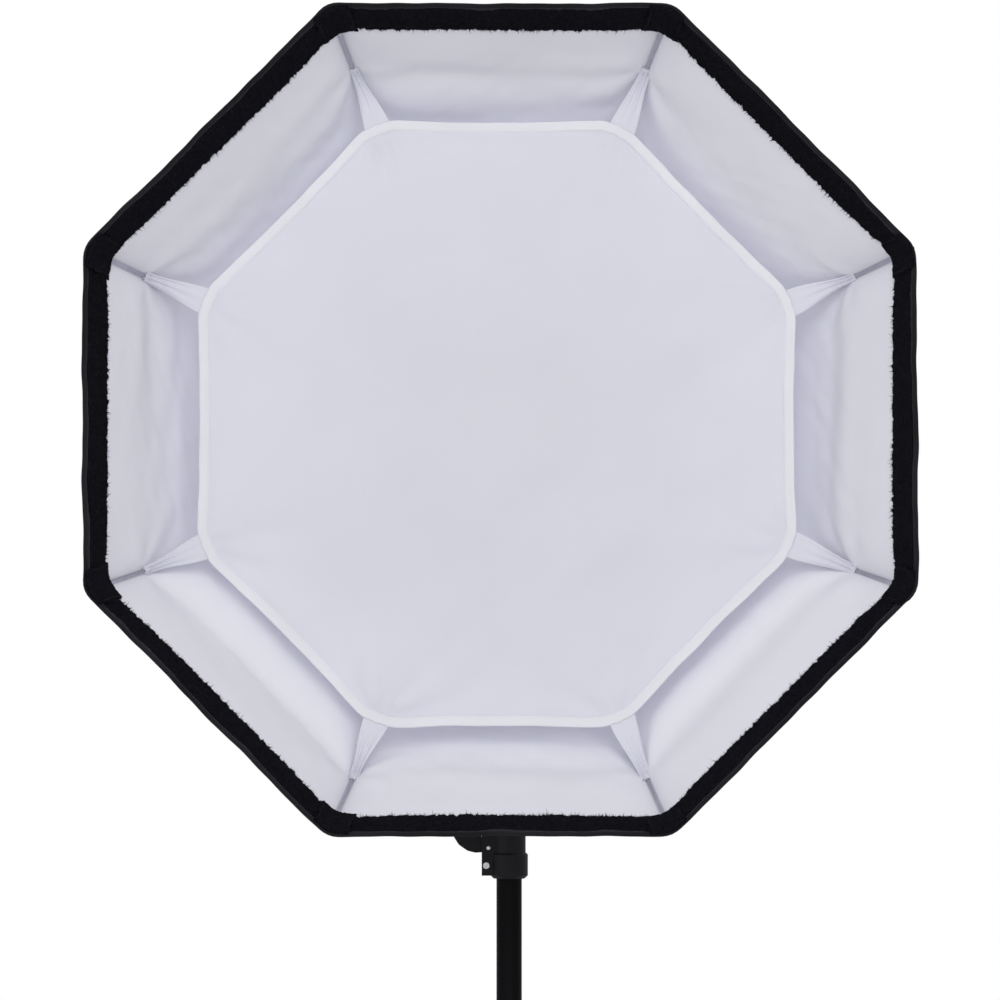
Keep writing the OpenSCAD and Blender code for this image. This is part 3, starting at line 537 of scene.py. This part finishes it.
def wall_grid(columns, angles, offset):
    """Points and UVs of a cloth layer round the whole softbox: a row for each arc angle, and
    `columns` points along each side. Returns points, uv and the layer's flat area."""
    side = np.repeat(np.arange(SIDES), columns)
    share = np.tile(np.arange(columns) / columns * 2 - 1, SIDES)
    depth, radius = arc_point(angles, offset)
    depth = depth[:, None]
    flat = radius[:, None] * FLAT
    half = flat * TAN
    along = share[None, :] * half
    run = (ARC_R + offset) * (angles - angles[0])[:, None]
    to_start = half + along
    to_end = half - along
    pull = PULLS[side][None, :]
    inset = pulled_in(depth, offset, pull, FOLD_SLOPES[side][None, :])
    ends = (1 - np.exp(-to_start / END_REACH)) * (1 - np.exp(-to_end / END_REACH))
    wrinkle = np.zeros_like(along)
    for k in range(SIDES):
        rng = np.random.default_rng(40 + k)
        pick = side == k
        long_folds = waves(rng, 5, 0.11, 0.045, 0.0016, 0.35)
        fine = waves(rng, 6, 0.05, 0.018, 0.0005)
        slow = waves(rng, 4, 0.5, 0.2, 0.0016)
        a, b = along[:, pick], run + 0 * along[:, pick]
        wrinkle[:, pick] = long_folds(b, a) * 0.8 + fine(a, b) + slow(a, b)
        for near, phase in ((to_start[:, pick], rng.uniform(0, 6)), (to_end[:, pick], rng.uniform(0, 6))):
            back = depth - MID_DEPTH
            reach = np.hypot(near, back)
            fan = np.sin(np.arctan2(back, near) * 6 + phase)
            wrinkle[:, pick] += 0.0022 * fan * np.exp(-reach / 0.045) * smooth_step(reach / 0.02)
    behind = smooth_step((depth - 0.055) / 0.05)
    settle = smooth_step(depth / 0.06) * (0.35 + 0.65 * behind)
    calm = smooth_step(np.minimum(to_start, to_end) / 0.03)
    out = flat - inset * ends - wrinkle * settle * calm
    points = world(depth + 0 * out, STEP * side[None, :], out, along)
    area = float(np.trapz(2 * SIDES * half[:, 0], run[:, 0]))
    widest = 2 * half[0, 0]
    u = (side[None, :] + 0.5) * widest + along
    u = np.concatenate([u, u[:, :1] + SIDES * widest], axis=1)
    uv = np.stack([u, run + 0 * u], -1)
    return points, uv, area


CLOTH_ANGLES = np.linspace(
    arc_angle(CLOTH_START), math.acos((CLOTH_END_R - ARC_OUT) / ARC_R), 96)


def make_walls(materials):
    """Lining and outer cover, each one continuous sheet round the rods."""
    columns = 44
    inner, uv, area = wall_grid(columns, CLOTH_ANGLES, LINING_OFFSET)
    short = inner[:-LINING_SHORT]
    lining = slab("lining_cloth", short, push(short, LINING_THICK, True), uv[:-LINING_SHORT],
                  materials["lining_fabric"], True)
    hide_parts("lining")

    outer = push(inner, LAYER_GAP, True)
    cover = slab("cover_cloth", outer, push(outer, COVER_THICK, True), uv, materials["cover_fabric"], True)
    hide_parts("outer_cover")
    return outer


# ---------------------------------------------------------------- front edge


def octagon_path(corner_r, round_r, spacing):
    """A rounded octagon round the softbox's axis: outward direction, distance out and along as a
    line of points in the plane of the front edge."""
    pull_back = corner_r - round_r / FLAT
    points = []
    outward = []
    straight = 2 * (pull_back * math.sin(STEP / 2))
    steps = max(2, int(straight / spacing))
    turns = max(3, int(round_r * STEP / spacing))
    for k in range(SIDES):
        for t in range(turns):
            angle = STEP * (k - 0.5) + STEP * (t / turns - 0.5)
            centre = pull_back * np.array([math.cos(STEP * (k - 0.5)), math.sin(STEP * (k - 0.5))])
            outward.append([math.cos(angle), math.sin(angle)])
            points.append(centre + round_r * np.array(outward[-1]))
        direction = np.array([math.cos(STEP * k), math.sin(STEP * k)])
        tangent = np.array([-direction[1], direction[0]])
        middle = direction * (pull_back * FLAT + round_r)
        for t in range(steps):
            points.append(middle + tangent * straight * (t / steps - 0.5))
            outward.append(direction)
    points = np.array(points)
    outward = np.array(outward)
    step = np.linalg.norm(np.diff(points, axis=0, append=points[:1]), axis=1)
    run = np.concatenate([[0], np.cumsum(step)[:-1]])
    return points, outward, run


def ring_sweep(name, path, profile, material, wobble):
    """Sweeps a cross-section of (out, back) points along an octagon path. wobble(run) moves it
    outward and back by small amounts."""
    points, outward, run = path
    shift = wobble(run)
    out = profile[None, :, 0] + shift[:, :1]
    back = profile[None, :, 1] + shift[:, 1:]
    flat = points[:, None, :] + outward[:, None, :] * out[..., None]
    rings = np.stack([AXIS_X + flat[..., 0], RIM_Y + back, AXIS_Z + flat[..., 1]], -1)
    around = np.concatenate([[0], np.cumsum(np.linalg.norm(np.diff(profile, axis=0), axis=1))])
    return loft(name, rings, run, around, material)


def rounded_bar(length, thickness, tilt):
    """Cross-section of a flat band with round edges, tilted from the axis, as (out, back) pairs."""
    points = 5
    radius = thickness / 2
    ends = []
    for sign, at in ((1, length / 2 - radius), (-1, -length / 2 + radius)):
        for t in range(points):
            angle = math.pi / 2 * sign * (1 - 2 * t / (points - 1))
            ends.append((at + sign * radius * math.cos(angle), radius * math.sin(angle)))
    lines = []
    for i, (a, b) in enumerate(ends):
        lines.append((a, b))
        if (i + 1) % points == 0:
            nxt = ends[(i + 1) % len(ends)]
            lines += [(a + (nxt[0] - a) * s / 4, b + (nxt[1] - b) * s / 4) for s in (1, 2, 3)]
    cos, sin = math.cos(tilt), math.sin(tilt)
    return np.array([(-a * sin + b * cos, a * cos + b * sin) for a, b in lines])


def make_rim(materials):
    """Woven binding folded over the front edge."""
    rng = np.random.default_rng(7)
    sway = waves(rng, 9, 0.16, 0.03, 0.0009)
    drift = waves(rng, 7, 0.2, 0.04, 0.0007)
    tilt = arc_angle(0.004)
    band = rounded_bar(0.0092, 0.0042, tilt) + [0.0, 0.0026]
    path = octagon_path(FRONT_R - 0.0024, 0.022, 0.0035)

    def wobble(run):
        return np.stack([sway(run, 0 * run), drift(run, 0 * run)], -1)

    binding = ring_sweep("rim_binding_band", path, band, materials["binding_fabric"], wobble)
    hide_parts("rim_binding")


def make_tape(materials):
    """Loop tape inside the front edge, its ragged pile and the fibres that stand off it."""
    columns = 170
    rng = np.random.default_rng(11)
    reach_on = np.repeat(TAPE_REACH, columns)
    blend = np.hanning(41) / np.hanning(41).sum()
    reach_on = np.convolve(np.concatenate([reach_on[-20:], reach_on, reach_on[:20]]), blend, "valid")
    angles = np.linspace(arc_angle(TAPE_FROM), arc_angle(TAPE_TO), 15)
    wall, uv, _ = wall_grid(columns, angles, LINING_OFFSET - 0.0003)
    rows, cols = wall.shape[:2]
    inner_edge = waves(rng, 10, 0.02, 0.004, 0.0006)
    slow_edge = waves(rng, 5, 0.3, 0.08, 0.0008)
    run = uv[0, :-1, 0]
    share = np.linspace(0, 1, rows)[:, None]
    down = np.gradient(wall, axis=0)
    down /= np.linalg.norm(down, axis=-1, keepdims=True)
    ragged = inner_edge(run, 0 * run) + slow_edge(run, 0 * run) + rng.normal(0, 0.0008, cols)
    wall = wall + down * (ragged[None, :] * share**3 + reach_on[None, :] * share)[..., None]
    lumps = waves(rng, 14, 0.014, 0.004, 0.0004)
    height = 0.0021 + lumps(run[None, :], uv[:, :-1, 1]) + rng.normal(0, 0.00012, (rows, cols))
    edge = np.sin(np.linspace(0.12, math.pi - 0.3, rows))[:, None] ** 0.4
    top = push(wall, -np.maximum(height * edge, 0.0008), True)
    tape = slab("loop_tape_band", wall, top, uv, materials["loop_fabric"], True)
    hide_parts("loop_tape")

    normal = grid_normals(top, True)
    middle = np.array([AXIS_X, 0, AXIS_Z])
    inward = -np.sign(np.mean(np.sum(normal * (top - middle) * [1, 0, 1], -1)))
    normal = normal * inward
    count = 7000
    row = rng.integers(1, rows - 1, count)
    col = rng.integers(0, cols, count)
    root = top[row, col] + rng.normal(0, 0.0007, (count, 3)) * [1, 1, 1]
    lean = rng.normal(0, 0.55, (count, 3))
    fibres(root - normal[row, col] * 0.0006, normal[row, col] + lean, rng, "loop_pile_fibres", materials)
    count = 8000
    col = rng.integers(0, cols, count)
    root = wall[-1, col] * 0.45 + top[-1, col] * 0.55 - down[-1, col] * 0.0012
    lean = rng.normal(0, 0.4, (count, 3))
    fibres(root, down[-1, col] + normal[-1, col] * 0.3 + lean, rng, "loop_edge_fibres", materials, 1.5)


def fibres(root, direction, rng, name, materials, size=1.0):
    """Thin closed spikes of pile."""
    count = len(root)
    direction = direction / np.linalg.norm(direction, axis=1, keepdims=True)
    side = np.cross(direction, rng.normal(0, 1, (count, 3)))
    side /= np.linalg.norm(side, axis=1, keepdims=True)
    other = np.cross(direction, side)
    length = rng.gamma(4.0, 0.00040 * size, count)[:, None]
    thick = 0.00026 * size
    base = [root + thick * (side * math.cos(t) + other * math.sin(t)) for t in (0, 2.1, 4.2)]
    points = np.stack([*base, root + direction * length], 1).reshape(-1, 3)
    shape = ((0, 1, 2), (0, 3, 1), (1, 3, 2), (2, 3, 0))
    faces = [[v + 4 * n for v in f] for n in range(count) for f in shape]
    piece = make_object(name, points, faces, materials["loop_fabric"])


def corner_strip(corner, half_width, columns, angles, offset, rounding):
    """A strip of points laid over a corner along its rod: rows along the arc, columns across.
    rounding eases the corner."""
    phi = STEP * (corner + 0.5)
    across = np.linspace(-half_width, half_width, columns)
    depth, radius = arc_point(angles, offset)
    bent = np.sqrt(across**2 + rounding**2) * SLANT
    out = radius[:, None] - bent[None, :]
    points = world(depth[:, None] + 0 * out, phi, out, across[None, :] * FLAT + 0 * out)
    run = (ARC_R + offset) * (angles - angles[0])
    uv = np.stack(np.meshgrid(across, run), -1)
    return points, uv


def make_pockets(materials):
    """Corner patches that hold the rod tips, with ragged cut ends and a seam across each."""
    rng = np.random.default_rng(23)
    lines = []
    patches = []
    for corner in range(SIDES):
        columns = 45
        half = 0.0185
        sides = TAPE_REACH[[corner, (corner + 1) % SIDES]]
        last = TAPE_TO + sides.mean() + rng.uniform(0.0045, 0.0075)
        angles = np.linspace(arc_angle(0.0012), arc_angle(last), 22)
        grid, uv = corner_strip(corner, half, columns, angles, 0.0004, 0.009)
        jag = rng.normal(0, 0.0007, (len(angles), 2)) + waves(rng, 4, 0.02, 0.006, 0.001)(
            np.arange(len(angles))[:, None] * 0.0018, np.array([[0.0, 0.05]]))
        across = np.gradient(grid, axis=1)
        across /= np.linalg.norm(across, axis=-1, keepdims=True)
        share = np.linspace(-1, 1, columns)
        stretch = np.where(share < 0, jag[:, :1], jag[:, 1:]) * np.abs(share) ** 4
        grid = grid + across * stretch[..., None]
        down = np.gradient(grid, axis=0)
        down /= np.linalg.norm(down, axis=-1, keepdims=True)
        fray = rng.normal(0, 0.0006, columns) + waves(rng, 3, 0.03, 0.01, 0.0009)(share * half, 0)
        grid = grid + down * (fray[None, :] * np.linspace(0, 1, len(angles))[:, None] ** 3)[..., None]
        lumps = waves(rng, 8, 0.02, 0.006, 0.0004)(uv[..., 0], uv[..., 1])
        phi = STEP * (corner + 0.5)
        outward = np.array([math.cos(phi), 0, math.sin(phi)])
        under = push(grid, -lumps * 0.5, False)
        nose = [under[0] + outward * out - [0, back, 0] for out, back in ((0.0056, 0.0026), (0.0014, 0.0024))]
        under = np.concatenate([nose, under])
        uv = np.concatenate([uv[:1] - [0, 0.007], uv[:1] - [0, 0.003], uv])
        top = push(under, -0.0011, False)
        patches.append(slab(f"corner_patch_{corner + 1}", under, top, uv, materials["loop_fabric"]))
        for col in (3, columns - 4):
            line = push(top, -0.0002, False)[3:-1, col]
            lines.append(stitch_line(line, top[3:-1, col] - under[3:-1, col], 0.0026))
    for n, patch in enumerate(patches):
        if n == 0:
            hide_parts("corner_pockets")
    centres, directions, ups = (np.concatenate([line[i] for line in lines]) for i in range(3))
    thread = pods("corner_stitches", centres, directions, ups, 0.0022, 0.0005, materials["binding_fabric"])


# ---------------------------------------------------------------- inner diffuser


def diffuser_outline(count):
    """Outer edge of the diffuser: sides that pull in between rounded corners, as radii at evenly
    spread directions."""
    angle = np.arange(count) * 2 * math.pi / count
    local = (angle + STEP / 2) % STEP - STEP / 2
    straight = HEM_R * FLAT / np.cos(local)
    share = np.abs(local) / (STEP / 2)
    hollow = 0.0028 * (1 - share**2)
    cut = 0.0055 * np.exp(-(((1 - share) / 0.085) ** 2))
    return angle, straight - hollow - cut


def diffuser_relief(x, z):
    """How far the stretched cloth stands in front of or behind its plane."""
    rng = np.random.default_rng(5)
    relief = waves(rng, 6, 0.45, 0.16, 0.0024)(x, z) + waves(rng, 6, 0.12, 0.04, 0.0007)(x, z)
    for k in range(SIDES):
        phi = STEP * (k + 0.5)
        dx = x - HEM_R * math.cos(phi)
        dz = z - HEM_R * math.sin(phi)
        reach = np.hypot(dx, dz)
        turn = np.arctan2(dx * math.sin(phi) - dz * math.cos(phi), -(dx * math.cos(phi) + dz * math.sin(phi)))
        rays = np.sin(turn * (9 + k % 3) + rng.uniform(0, 6))
        relief += 0.0024 * rays * np.exp(-reach / 0.08) * smooth_step(reach / 0.02)
    crease = x * 0.62 - z * 0.78
    for at, width, height in ((-0.02, 0.012, 0.0024), (0.075, 0.018, 0.0022), (0.15, 0.014, -0.0018)):
        relief += height * np.exp(-((crease - at) / width) ** 2) * smooth_step((x - z + 0.1) / 0.3)
    return relief


def make_diffuser(materials):
    """Stretched diffusion cloth, its sewn hem and the hem's stitching."""
    count = 400
    rows = 70
    angle, edge = diffuser_outline(count)
    share = np.linspace(0.004, 1, rows)[:, None] ** 0.9
    inner = edge - 0.0035
    x = share * inner * np.cos(angle) + HEM_SHIFT
    z = share * inner * np.sin(angle) * HEM_STRETCH
    settle = 1 - smooth_step((share - 0.93) / 0.07)
    relief = diffuser_relief(x, z) * settle
    plane = RIM_Y + DIFFUSER_DEPTH
    front = np.stack([AXIS_X + x, plane + relief - 0.0002, AXIS_Z + z], -1)
    uv = np.stack([x, z], -1)
    uv = np.concatenate([uv, uv[:, :1]], axis=1)
    back = front + [0, 0.0004, 0]
    middle = np.array([[AXIS_X + HEM_SHIFT, plane - 0.0002 + relief[0].mean(), AXIS_Z]])
    cloth = disc("diffuser_cloth", front, back, middle, uv, materials["diffuser_fabric"])
    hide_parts("inner_diffuser")

    rng = np.random.default_rng(9)
    points = np.stack([edge * np.cos(angle) + HEM_SHIFT, edge * np.sin(angle) * HEM_STRETCH], -1)
    outward = np.gradient(points, axis=0)
    outward = np.stack([outward[:, 1], -outward[:, 0]], -1)
    outward /= np.linalg.norm(outward, axis=1, keepdims=True)
    step = np.linalg.norm(np.diff(points, axis=0, append=points[:1]), axis=1)
    run = np.concatenate([[0], np.cumsum(step)[:-1]])
    sway = waves(rng, 8, 0.09, 0.02, 0.0004)
    lift = waves(rng, 8, 0.07, 0.015, 0.00035)
    band = rounded_bar(0.0095, 0.0019, math.pi / 2) - [0.0046, 0.0]

    def wobble(where):
        return np.stack([sway(where, 0 * where), DIFFUSER_DEPTH + lift(where, 0 * where)], -1)

    path = (points, outward, run)
    hem = ring_sweep("diffuser_hem_band", path, band, materials["hem_fabric"], wobble)
    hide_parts("diffuser_hem")

    shift = wobble(run)
    flat = points + outward * (shift[:, :1] - 0.0076)
    line = np.stack([AXIS_X + flat[:, 0], RIM_Y + shift[:, 1] - 0.00105, AXIS_Z + flat[:, 1]], -1)
    centres, directions, ups = stitch_line(line, np.tile([0.0, -1.0, 0.0], (len(line), 1)), 0.0034)
    thread = pods("hem_stitches", centres, directions, ups, 0.0026, 0.00045, materials["hem_fabric"])


def disc(name, front, back, middle, uv, material):
    """A closed round sheet: two polar grids, a point in the middle of each, and a rim."""
    rows, cols = front.shape[:2]
    points = np.concatenate([front.reshape(-1, 3), back.reshape(-1, 3), middle, middle + [0, 0.0004, 0]])
    index = np.arange(rows * cols).reshape(rows, cols)
    size = rows * cols
    faces = []
    uvs = []
    for layer in (0, 1):
        for r in range(rows - 1):
            for c in range(cols):
                d = (c + 1) % cols
                faces.append([int(i) + size * layer for i in (
                    index[r, c], index[r, d], index[r + 1, d], index[r + 1, c])])
                uvs += [uv[r, c], uv[r, c + 1], uv[r + 1, c + 1], uv[r + 1, c]]
        for c in range(cols):
            d = (c + 1) % cols
            faces.append([2 * size + layer, int(index[0, c]) + size * layer, int(index[0, d]) + size * layer])
            uvs += [np.zeros(2), uv[0, c], uv[0, c + 1]]
    for c in range(cols):
        d = (c + 1) % cols
        last = rows - 1
        faces.append([int(index[last, c]), int(index[last, d]), int(index[last, d]) + size,
                      int(index[last, c]) + size])
        uvs += [uv[last, c], uv[last, c + 1], uv[last, c + 1], uv[last, c]]
    return make_object(name, points, faces, material, np.array(uvs))


# ---------------------------------------------------------------- straps


def strap_point(corner, out, across, depth):
    """A point in a corner's own directions: out along its rod's radius and across it."""
    return world(depth, STEP * (corner + 0.5), out, across)


def make_straps(materials):
    """Eight straps: flat at the diffuser, gathered towards the rod, with the folded end of the
    strap sewn into a loop round the rod."""
    rng = np.random.default_rng(31)
    mid = arc_angle(MID_DEPTH)
    along_rod = np.array([-math.sin(mid), math.cos(mid)])  # out and depth
    off_rod = np.array([math.cos(mid), math.sin(mid)])
    for corner in range(SIDES):
        stations, cols = 30, 25
        t = np.linspace(0, 1, stations)[:, None]
        s = np.linspace(-1, 1, cols)[None, :]
        lean = rng.uniform(-0.25, 0.25)
        narrow = rng.uniform(0.30, 0.48)
        meet = 0.86  # from here on the strap lies along the rod
        start = np.array([HEM_R - 0.0115, MID_DEPTH + 0.0017])
        rod = np.array([ROD_MID_R, MID_DEPTH]) - off_rod * 0.0032
        first, rest = np.minimum(t / meet, 1), np.maximum(t - meet, 0) / (1 - meet)
        path = start + (rod - start) * first - along_rod * rest * 0.007
        gather = smooth_step(t / meet)
        width = 0.0128 * (1 - (1 - narrow) * gather)
        across = width * s + lean * 0.004 * np.sin(math.pi * first)
        pleats = np.sin(s * math.pi * 2.6 + rng.uniform(0, 6)) * 0.0016 * gather * (1 - 0.5 * rest)
        fold = np.abs(s) ** 2 * 0.0035 * smooth_step((t - 0.6) / 0.4) - across * gather * lean * 0.8
        curl = 0.0012 * np.sin(math.pi * first) * (s**2 - 0.4)
        lift = pleats * (1 - rest) + fold * 0.7 + curl
        out = path[:, :1] + off_rod[0] * lift
        depth = path[:, 1:] + off_rod[1] * lift + pleats * 0.5
        grid = strap_point(corner, out, across, depth)
        along = np.concatenate([[0], np.cumsum(np.linalg.norm(np.diff(path, axis=0), axis=1))])
        uv = np.stack(np.broadcast_arrays(across, along[:, None]), -1)
        thick = np.array([0, 0.0006, 0])
        strap = slab(f"strap_{corner + 1}", grid, grid + thick, uv, materials["strap_fabric"])

        around = np.linspace(0, 2 * math.pi, 28, endpoint=False)
        length = np.linspace(-1, 1, 9)
        reach = 0.0078
        radius = ROD_RADIUS + 0.0004 + 0.0002 * np.cos(around * 3 + corner)
        shells = []
        for extra in (0.0, 0.0007):
            r = radius + extra
            o = ROD_MID_R + along_rod[0] * length[:, None] * reach + off_rod[0] * r * np.cos(around)
            d = MID_DEPTH + along_rod[1] * length[:, None] * reach + off_rod[1] * r * np.cos(around)
            a = r * np.sin(around) + 0 * o
            shells.append(strap_point(corner, o, a, d))
        ring_uv = np.stack(np.meshgrid(np.append(around, 2 * math.pi) * 0.003, length * reach), -1)
        slab(
            f"strap_loop_{corner + 1}", shells[0], shells[1], ring_uv, materials["strap_fabric"], True)
    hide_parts("diffuser_straps")


# ---------------------------------------------------------------- back of the softbox


def make_cuff(materials):
    """Elastic cuff gathered round the speedring."""
    columns, rows = 384, 22
    rng = np.random.default_rng(3)
    turn = np.arange(columns) * 2 * math.pi / columns
    t = np.linspace(0, 1, rows)[:, None]
    outer, inner = CLOTH_END_R + CUFF_LAP, (RING_HIGH.x - RING_LOW.x) / 2 + 0.0013
    flat_share = FLAT / np.cos((turn + STEP / 2) % STEP - STEP / 2)
    edge = outer * (flat_share * (1 - t) + t)
    radius = edge * (1 - t) + inner * t + 0 * turn
    back = CUFF_LOW.y + 0.0008 + (CUFF_HIGH.y - CUFF_LOW.y - 0.003) * t - 0.0025 * (1 - t) ** 5
    pleats = np.sin(turn * 56 + 1.5 * np.sin(turn * 5 + 1) + rng.uniform(0, 6)) * 0.0013 * smooth_step(t)
    bulge = 0.002 * np.sin(math.pi * t)
    y = back + pleats + bulge
    points = np.stack([AXIS_X + radius * np.cos(turn), y, AXIS_Z + radius * np.sin(turn)], -1)
    uv = np.stack([0 * t + np.append(turn, 2 * math.pi) * 0.105, CUFF_WIDTH * t + 0 * np.append(turn, 0)], -1)
    cuff = slab("cuff_cloth", points, points + [0, 0.0008, 0], uv, materials["cover_fabric"], True)
    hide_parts("rear_cuff")

    count = 12
    section = np.arange(count) * 2 * math.pi / count
    ripple = 1 + 0.16 * np.sin(turn * 112)[:, None] * (0.5 + 0.5 * np.cos(section))
    r = inner + 0.0016 + 0.0015 * ripple * np.cos(section)
    y = CUFF_HIGH.y - 0.0016 + 0.0015 * ripple * np.sin(section)
    rings = np.stack([AXIS_X + r * np.cos(turn)[:, None], y, AXIS_Z + r * np.sin(turn)[:, None]], -1)
    cord = loft("cuff_elastic", rings, turn * inner, section * 0.0015, materials["binding_fabric"])


def make_seams(materials, cover):
    """Seam tapes over the cover along the rods, and two rows of stitches on each."""
    columns = 11
    half = 0.0085
    lines = []
    across = np.linspace(-half, half, columns)
    per_side = cover.shape[1] // SIDES
    for corner in range(SIDES):
        start = (corner + 1) * per_side
        rows = []
        for row in range(len(CLOTH_ANGLES)):
            picks = [(start + j) % cover.shape[1] for j in range(-8, 9)]
            line = cover[row, picks]
            step = np.linalg.norm(np.diff(line, axis=0), axis=1)
            run = np.concatenate([[0], np.cumsum(step)])
            run -= run[8]
            rows.append(np.stack([np.interp(across, run, line[:, k]) for k in range(3)], -1))
        grid = push(np.array(rows), 0.0009, False)
        uv = np.stack(np.meshgrid(across, ARC_R * (CLOTH_ANGLES - CLOTH_ANGLES[0])), -1)
        outside = push(grid, 0.0006, False)
        tape = slab(f"seam_tape_{corner + 1}", grid, outside, uv, materials["binding_fabric"])
        top = push(grid, 0.0007, False)
        for col in (1, columns - 2):
            lines.append(stitch_line(top[2:-2, col], top[2:-2, col] - grid[2:-2, col], 0.0042))
    centres, directions, ups = (np.concatenate([line[i] for line in lines]) for i in range(3))
    thread = pods("seam_stitches", centres, directions, ups, 0.0032, 0.0006, materials["binding_fabric"])


# ---------------------------------------------------------------- stage

AMBIENT = 0.54  # the even light's strength on the object


def make_camera():
    data = bpy.data.cameras.new("camera")
    data.lens = 159.9
    data.sensor_width = 36
    data.clip_end = 100
    camera = bpy.data.objects.new("camera", data)
    camera.location = (AXIS_X, RIM_Y - 4.0, AXIS_Z - 0.178)
    camera.rotation_euler = (math.radians(91.5), 0, 0)
    bpy.context.scene.collection.objects.link(camera)
    bpy.context.scene.camera = camera


def area_light(name, place, aim, size, power):
    data = bpy.data.lights.new(name, "AREA")
    data.size = size
    data.energy = power
    light = bpy.data.objects.new(name, data)
    light.location = place
    light.rotation_euler = (Vector(aim) - Vector(place)).to_track_quat("-Z", "Y").to_euler()
    bpy.context.scene.collection.objects.link(light)


def make_world():
    """White to the camera, and a softer even light on the object."""
    world_data = bpy.data.worlds.new("studio")
    bpy.context.scene.world = world_data
    world_data.use_nodes = True
    tree = world_data.node_tree
    background = tree.nodes["Background"]
    background.inputs["Color"].default_value = (1, 1, 1, 1)
    path = node(tree, "ShaderNodeLightPath")
    strength = math_node(
        tree, "ADD", math_node(tree, "MULTIPLY", path.outputs["Is Camera Ray"], 1 - AMBIENT), AMBIENT)
    tree.links.new(strength, background.inputs["Strength"])


def make_floor():
    """A pale disc that the main view doesn't reach."""
    material, tree, shader = new_material("studio_floor", (0.8, 0.8, 0.8), 0.7)
    tint(tree, shader, (0.79, 0.79, 0.79), (0.82, 0.82, 0.82), place_noise(tree, 3.0))
    mesh = bpy.data.meshes.new("studio_floor")
    solid = bmesh.new()
    bmesh.ops.create_circle(solid, cap_ends=True, segments=96, radius=2.6)
    solid.to_mesh(mesh)
    solid.free()
    mesh.materials.append(material)
    floor = bpy.data.objects.new("studio_floor", mesh)
    bpy.context.scene.collection.objects.link(floor)


def finish_frame_parts(materials):
    """Every CAD node takes the material of its slot."""
    for part in frame["record"]["subparts"]:
        piece = frame["nodes"][part["node"]]
        piece.data.materials.clear()
        piece.data.materials.append(materials[part["material_slot"]])


def main():
    make_camera()
    make_world()
    make_floor()
    area_light("key", (0.3, RIM_Y - 3.4, 2.1), (AXIS_X, RIM_Y, AXIS_Z), 2.6, 60.5)
    area_light("fill", (-2.4, RIM_Y - 2.8, 1.3), (AXIS_X, RIM_Y, AXIS_Z), 2.0, 12)
    materials = make_materials()
    finish_frame_parts(materials)
    cover = make_walls(materials)
    make_rim(materials)
    make_tape(materials)
    make_pockets(materials)
    make_diffuser(materials)
    make_straps(materials)
    make_cuff(materials)
    make_seams(materials, cover)
    scene = bpy.context.scene
    scene.view_settings.view_transform = "Standard"
    scene.cycles.max_bounces = 14
    scene.cycles.diffuse_bounces = 9
    scene.cycles.transmission_bounces = 9


main()
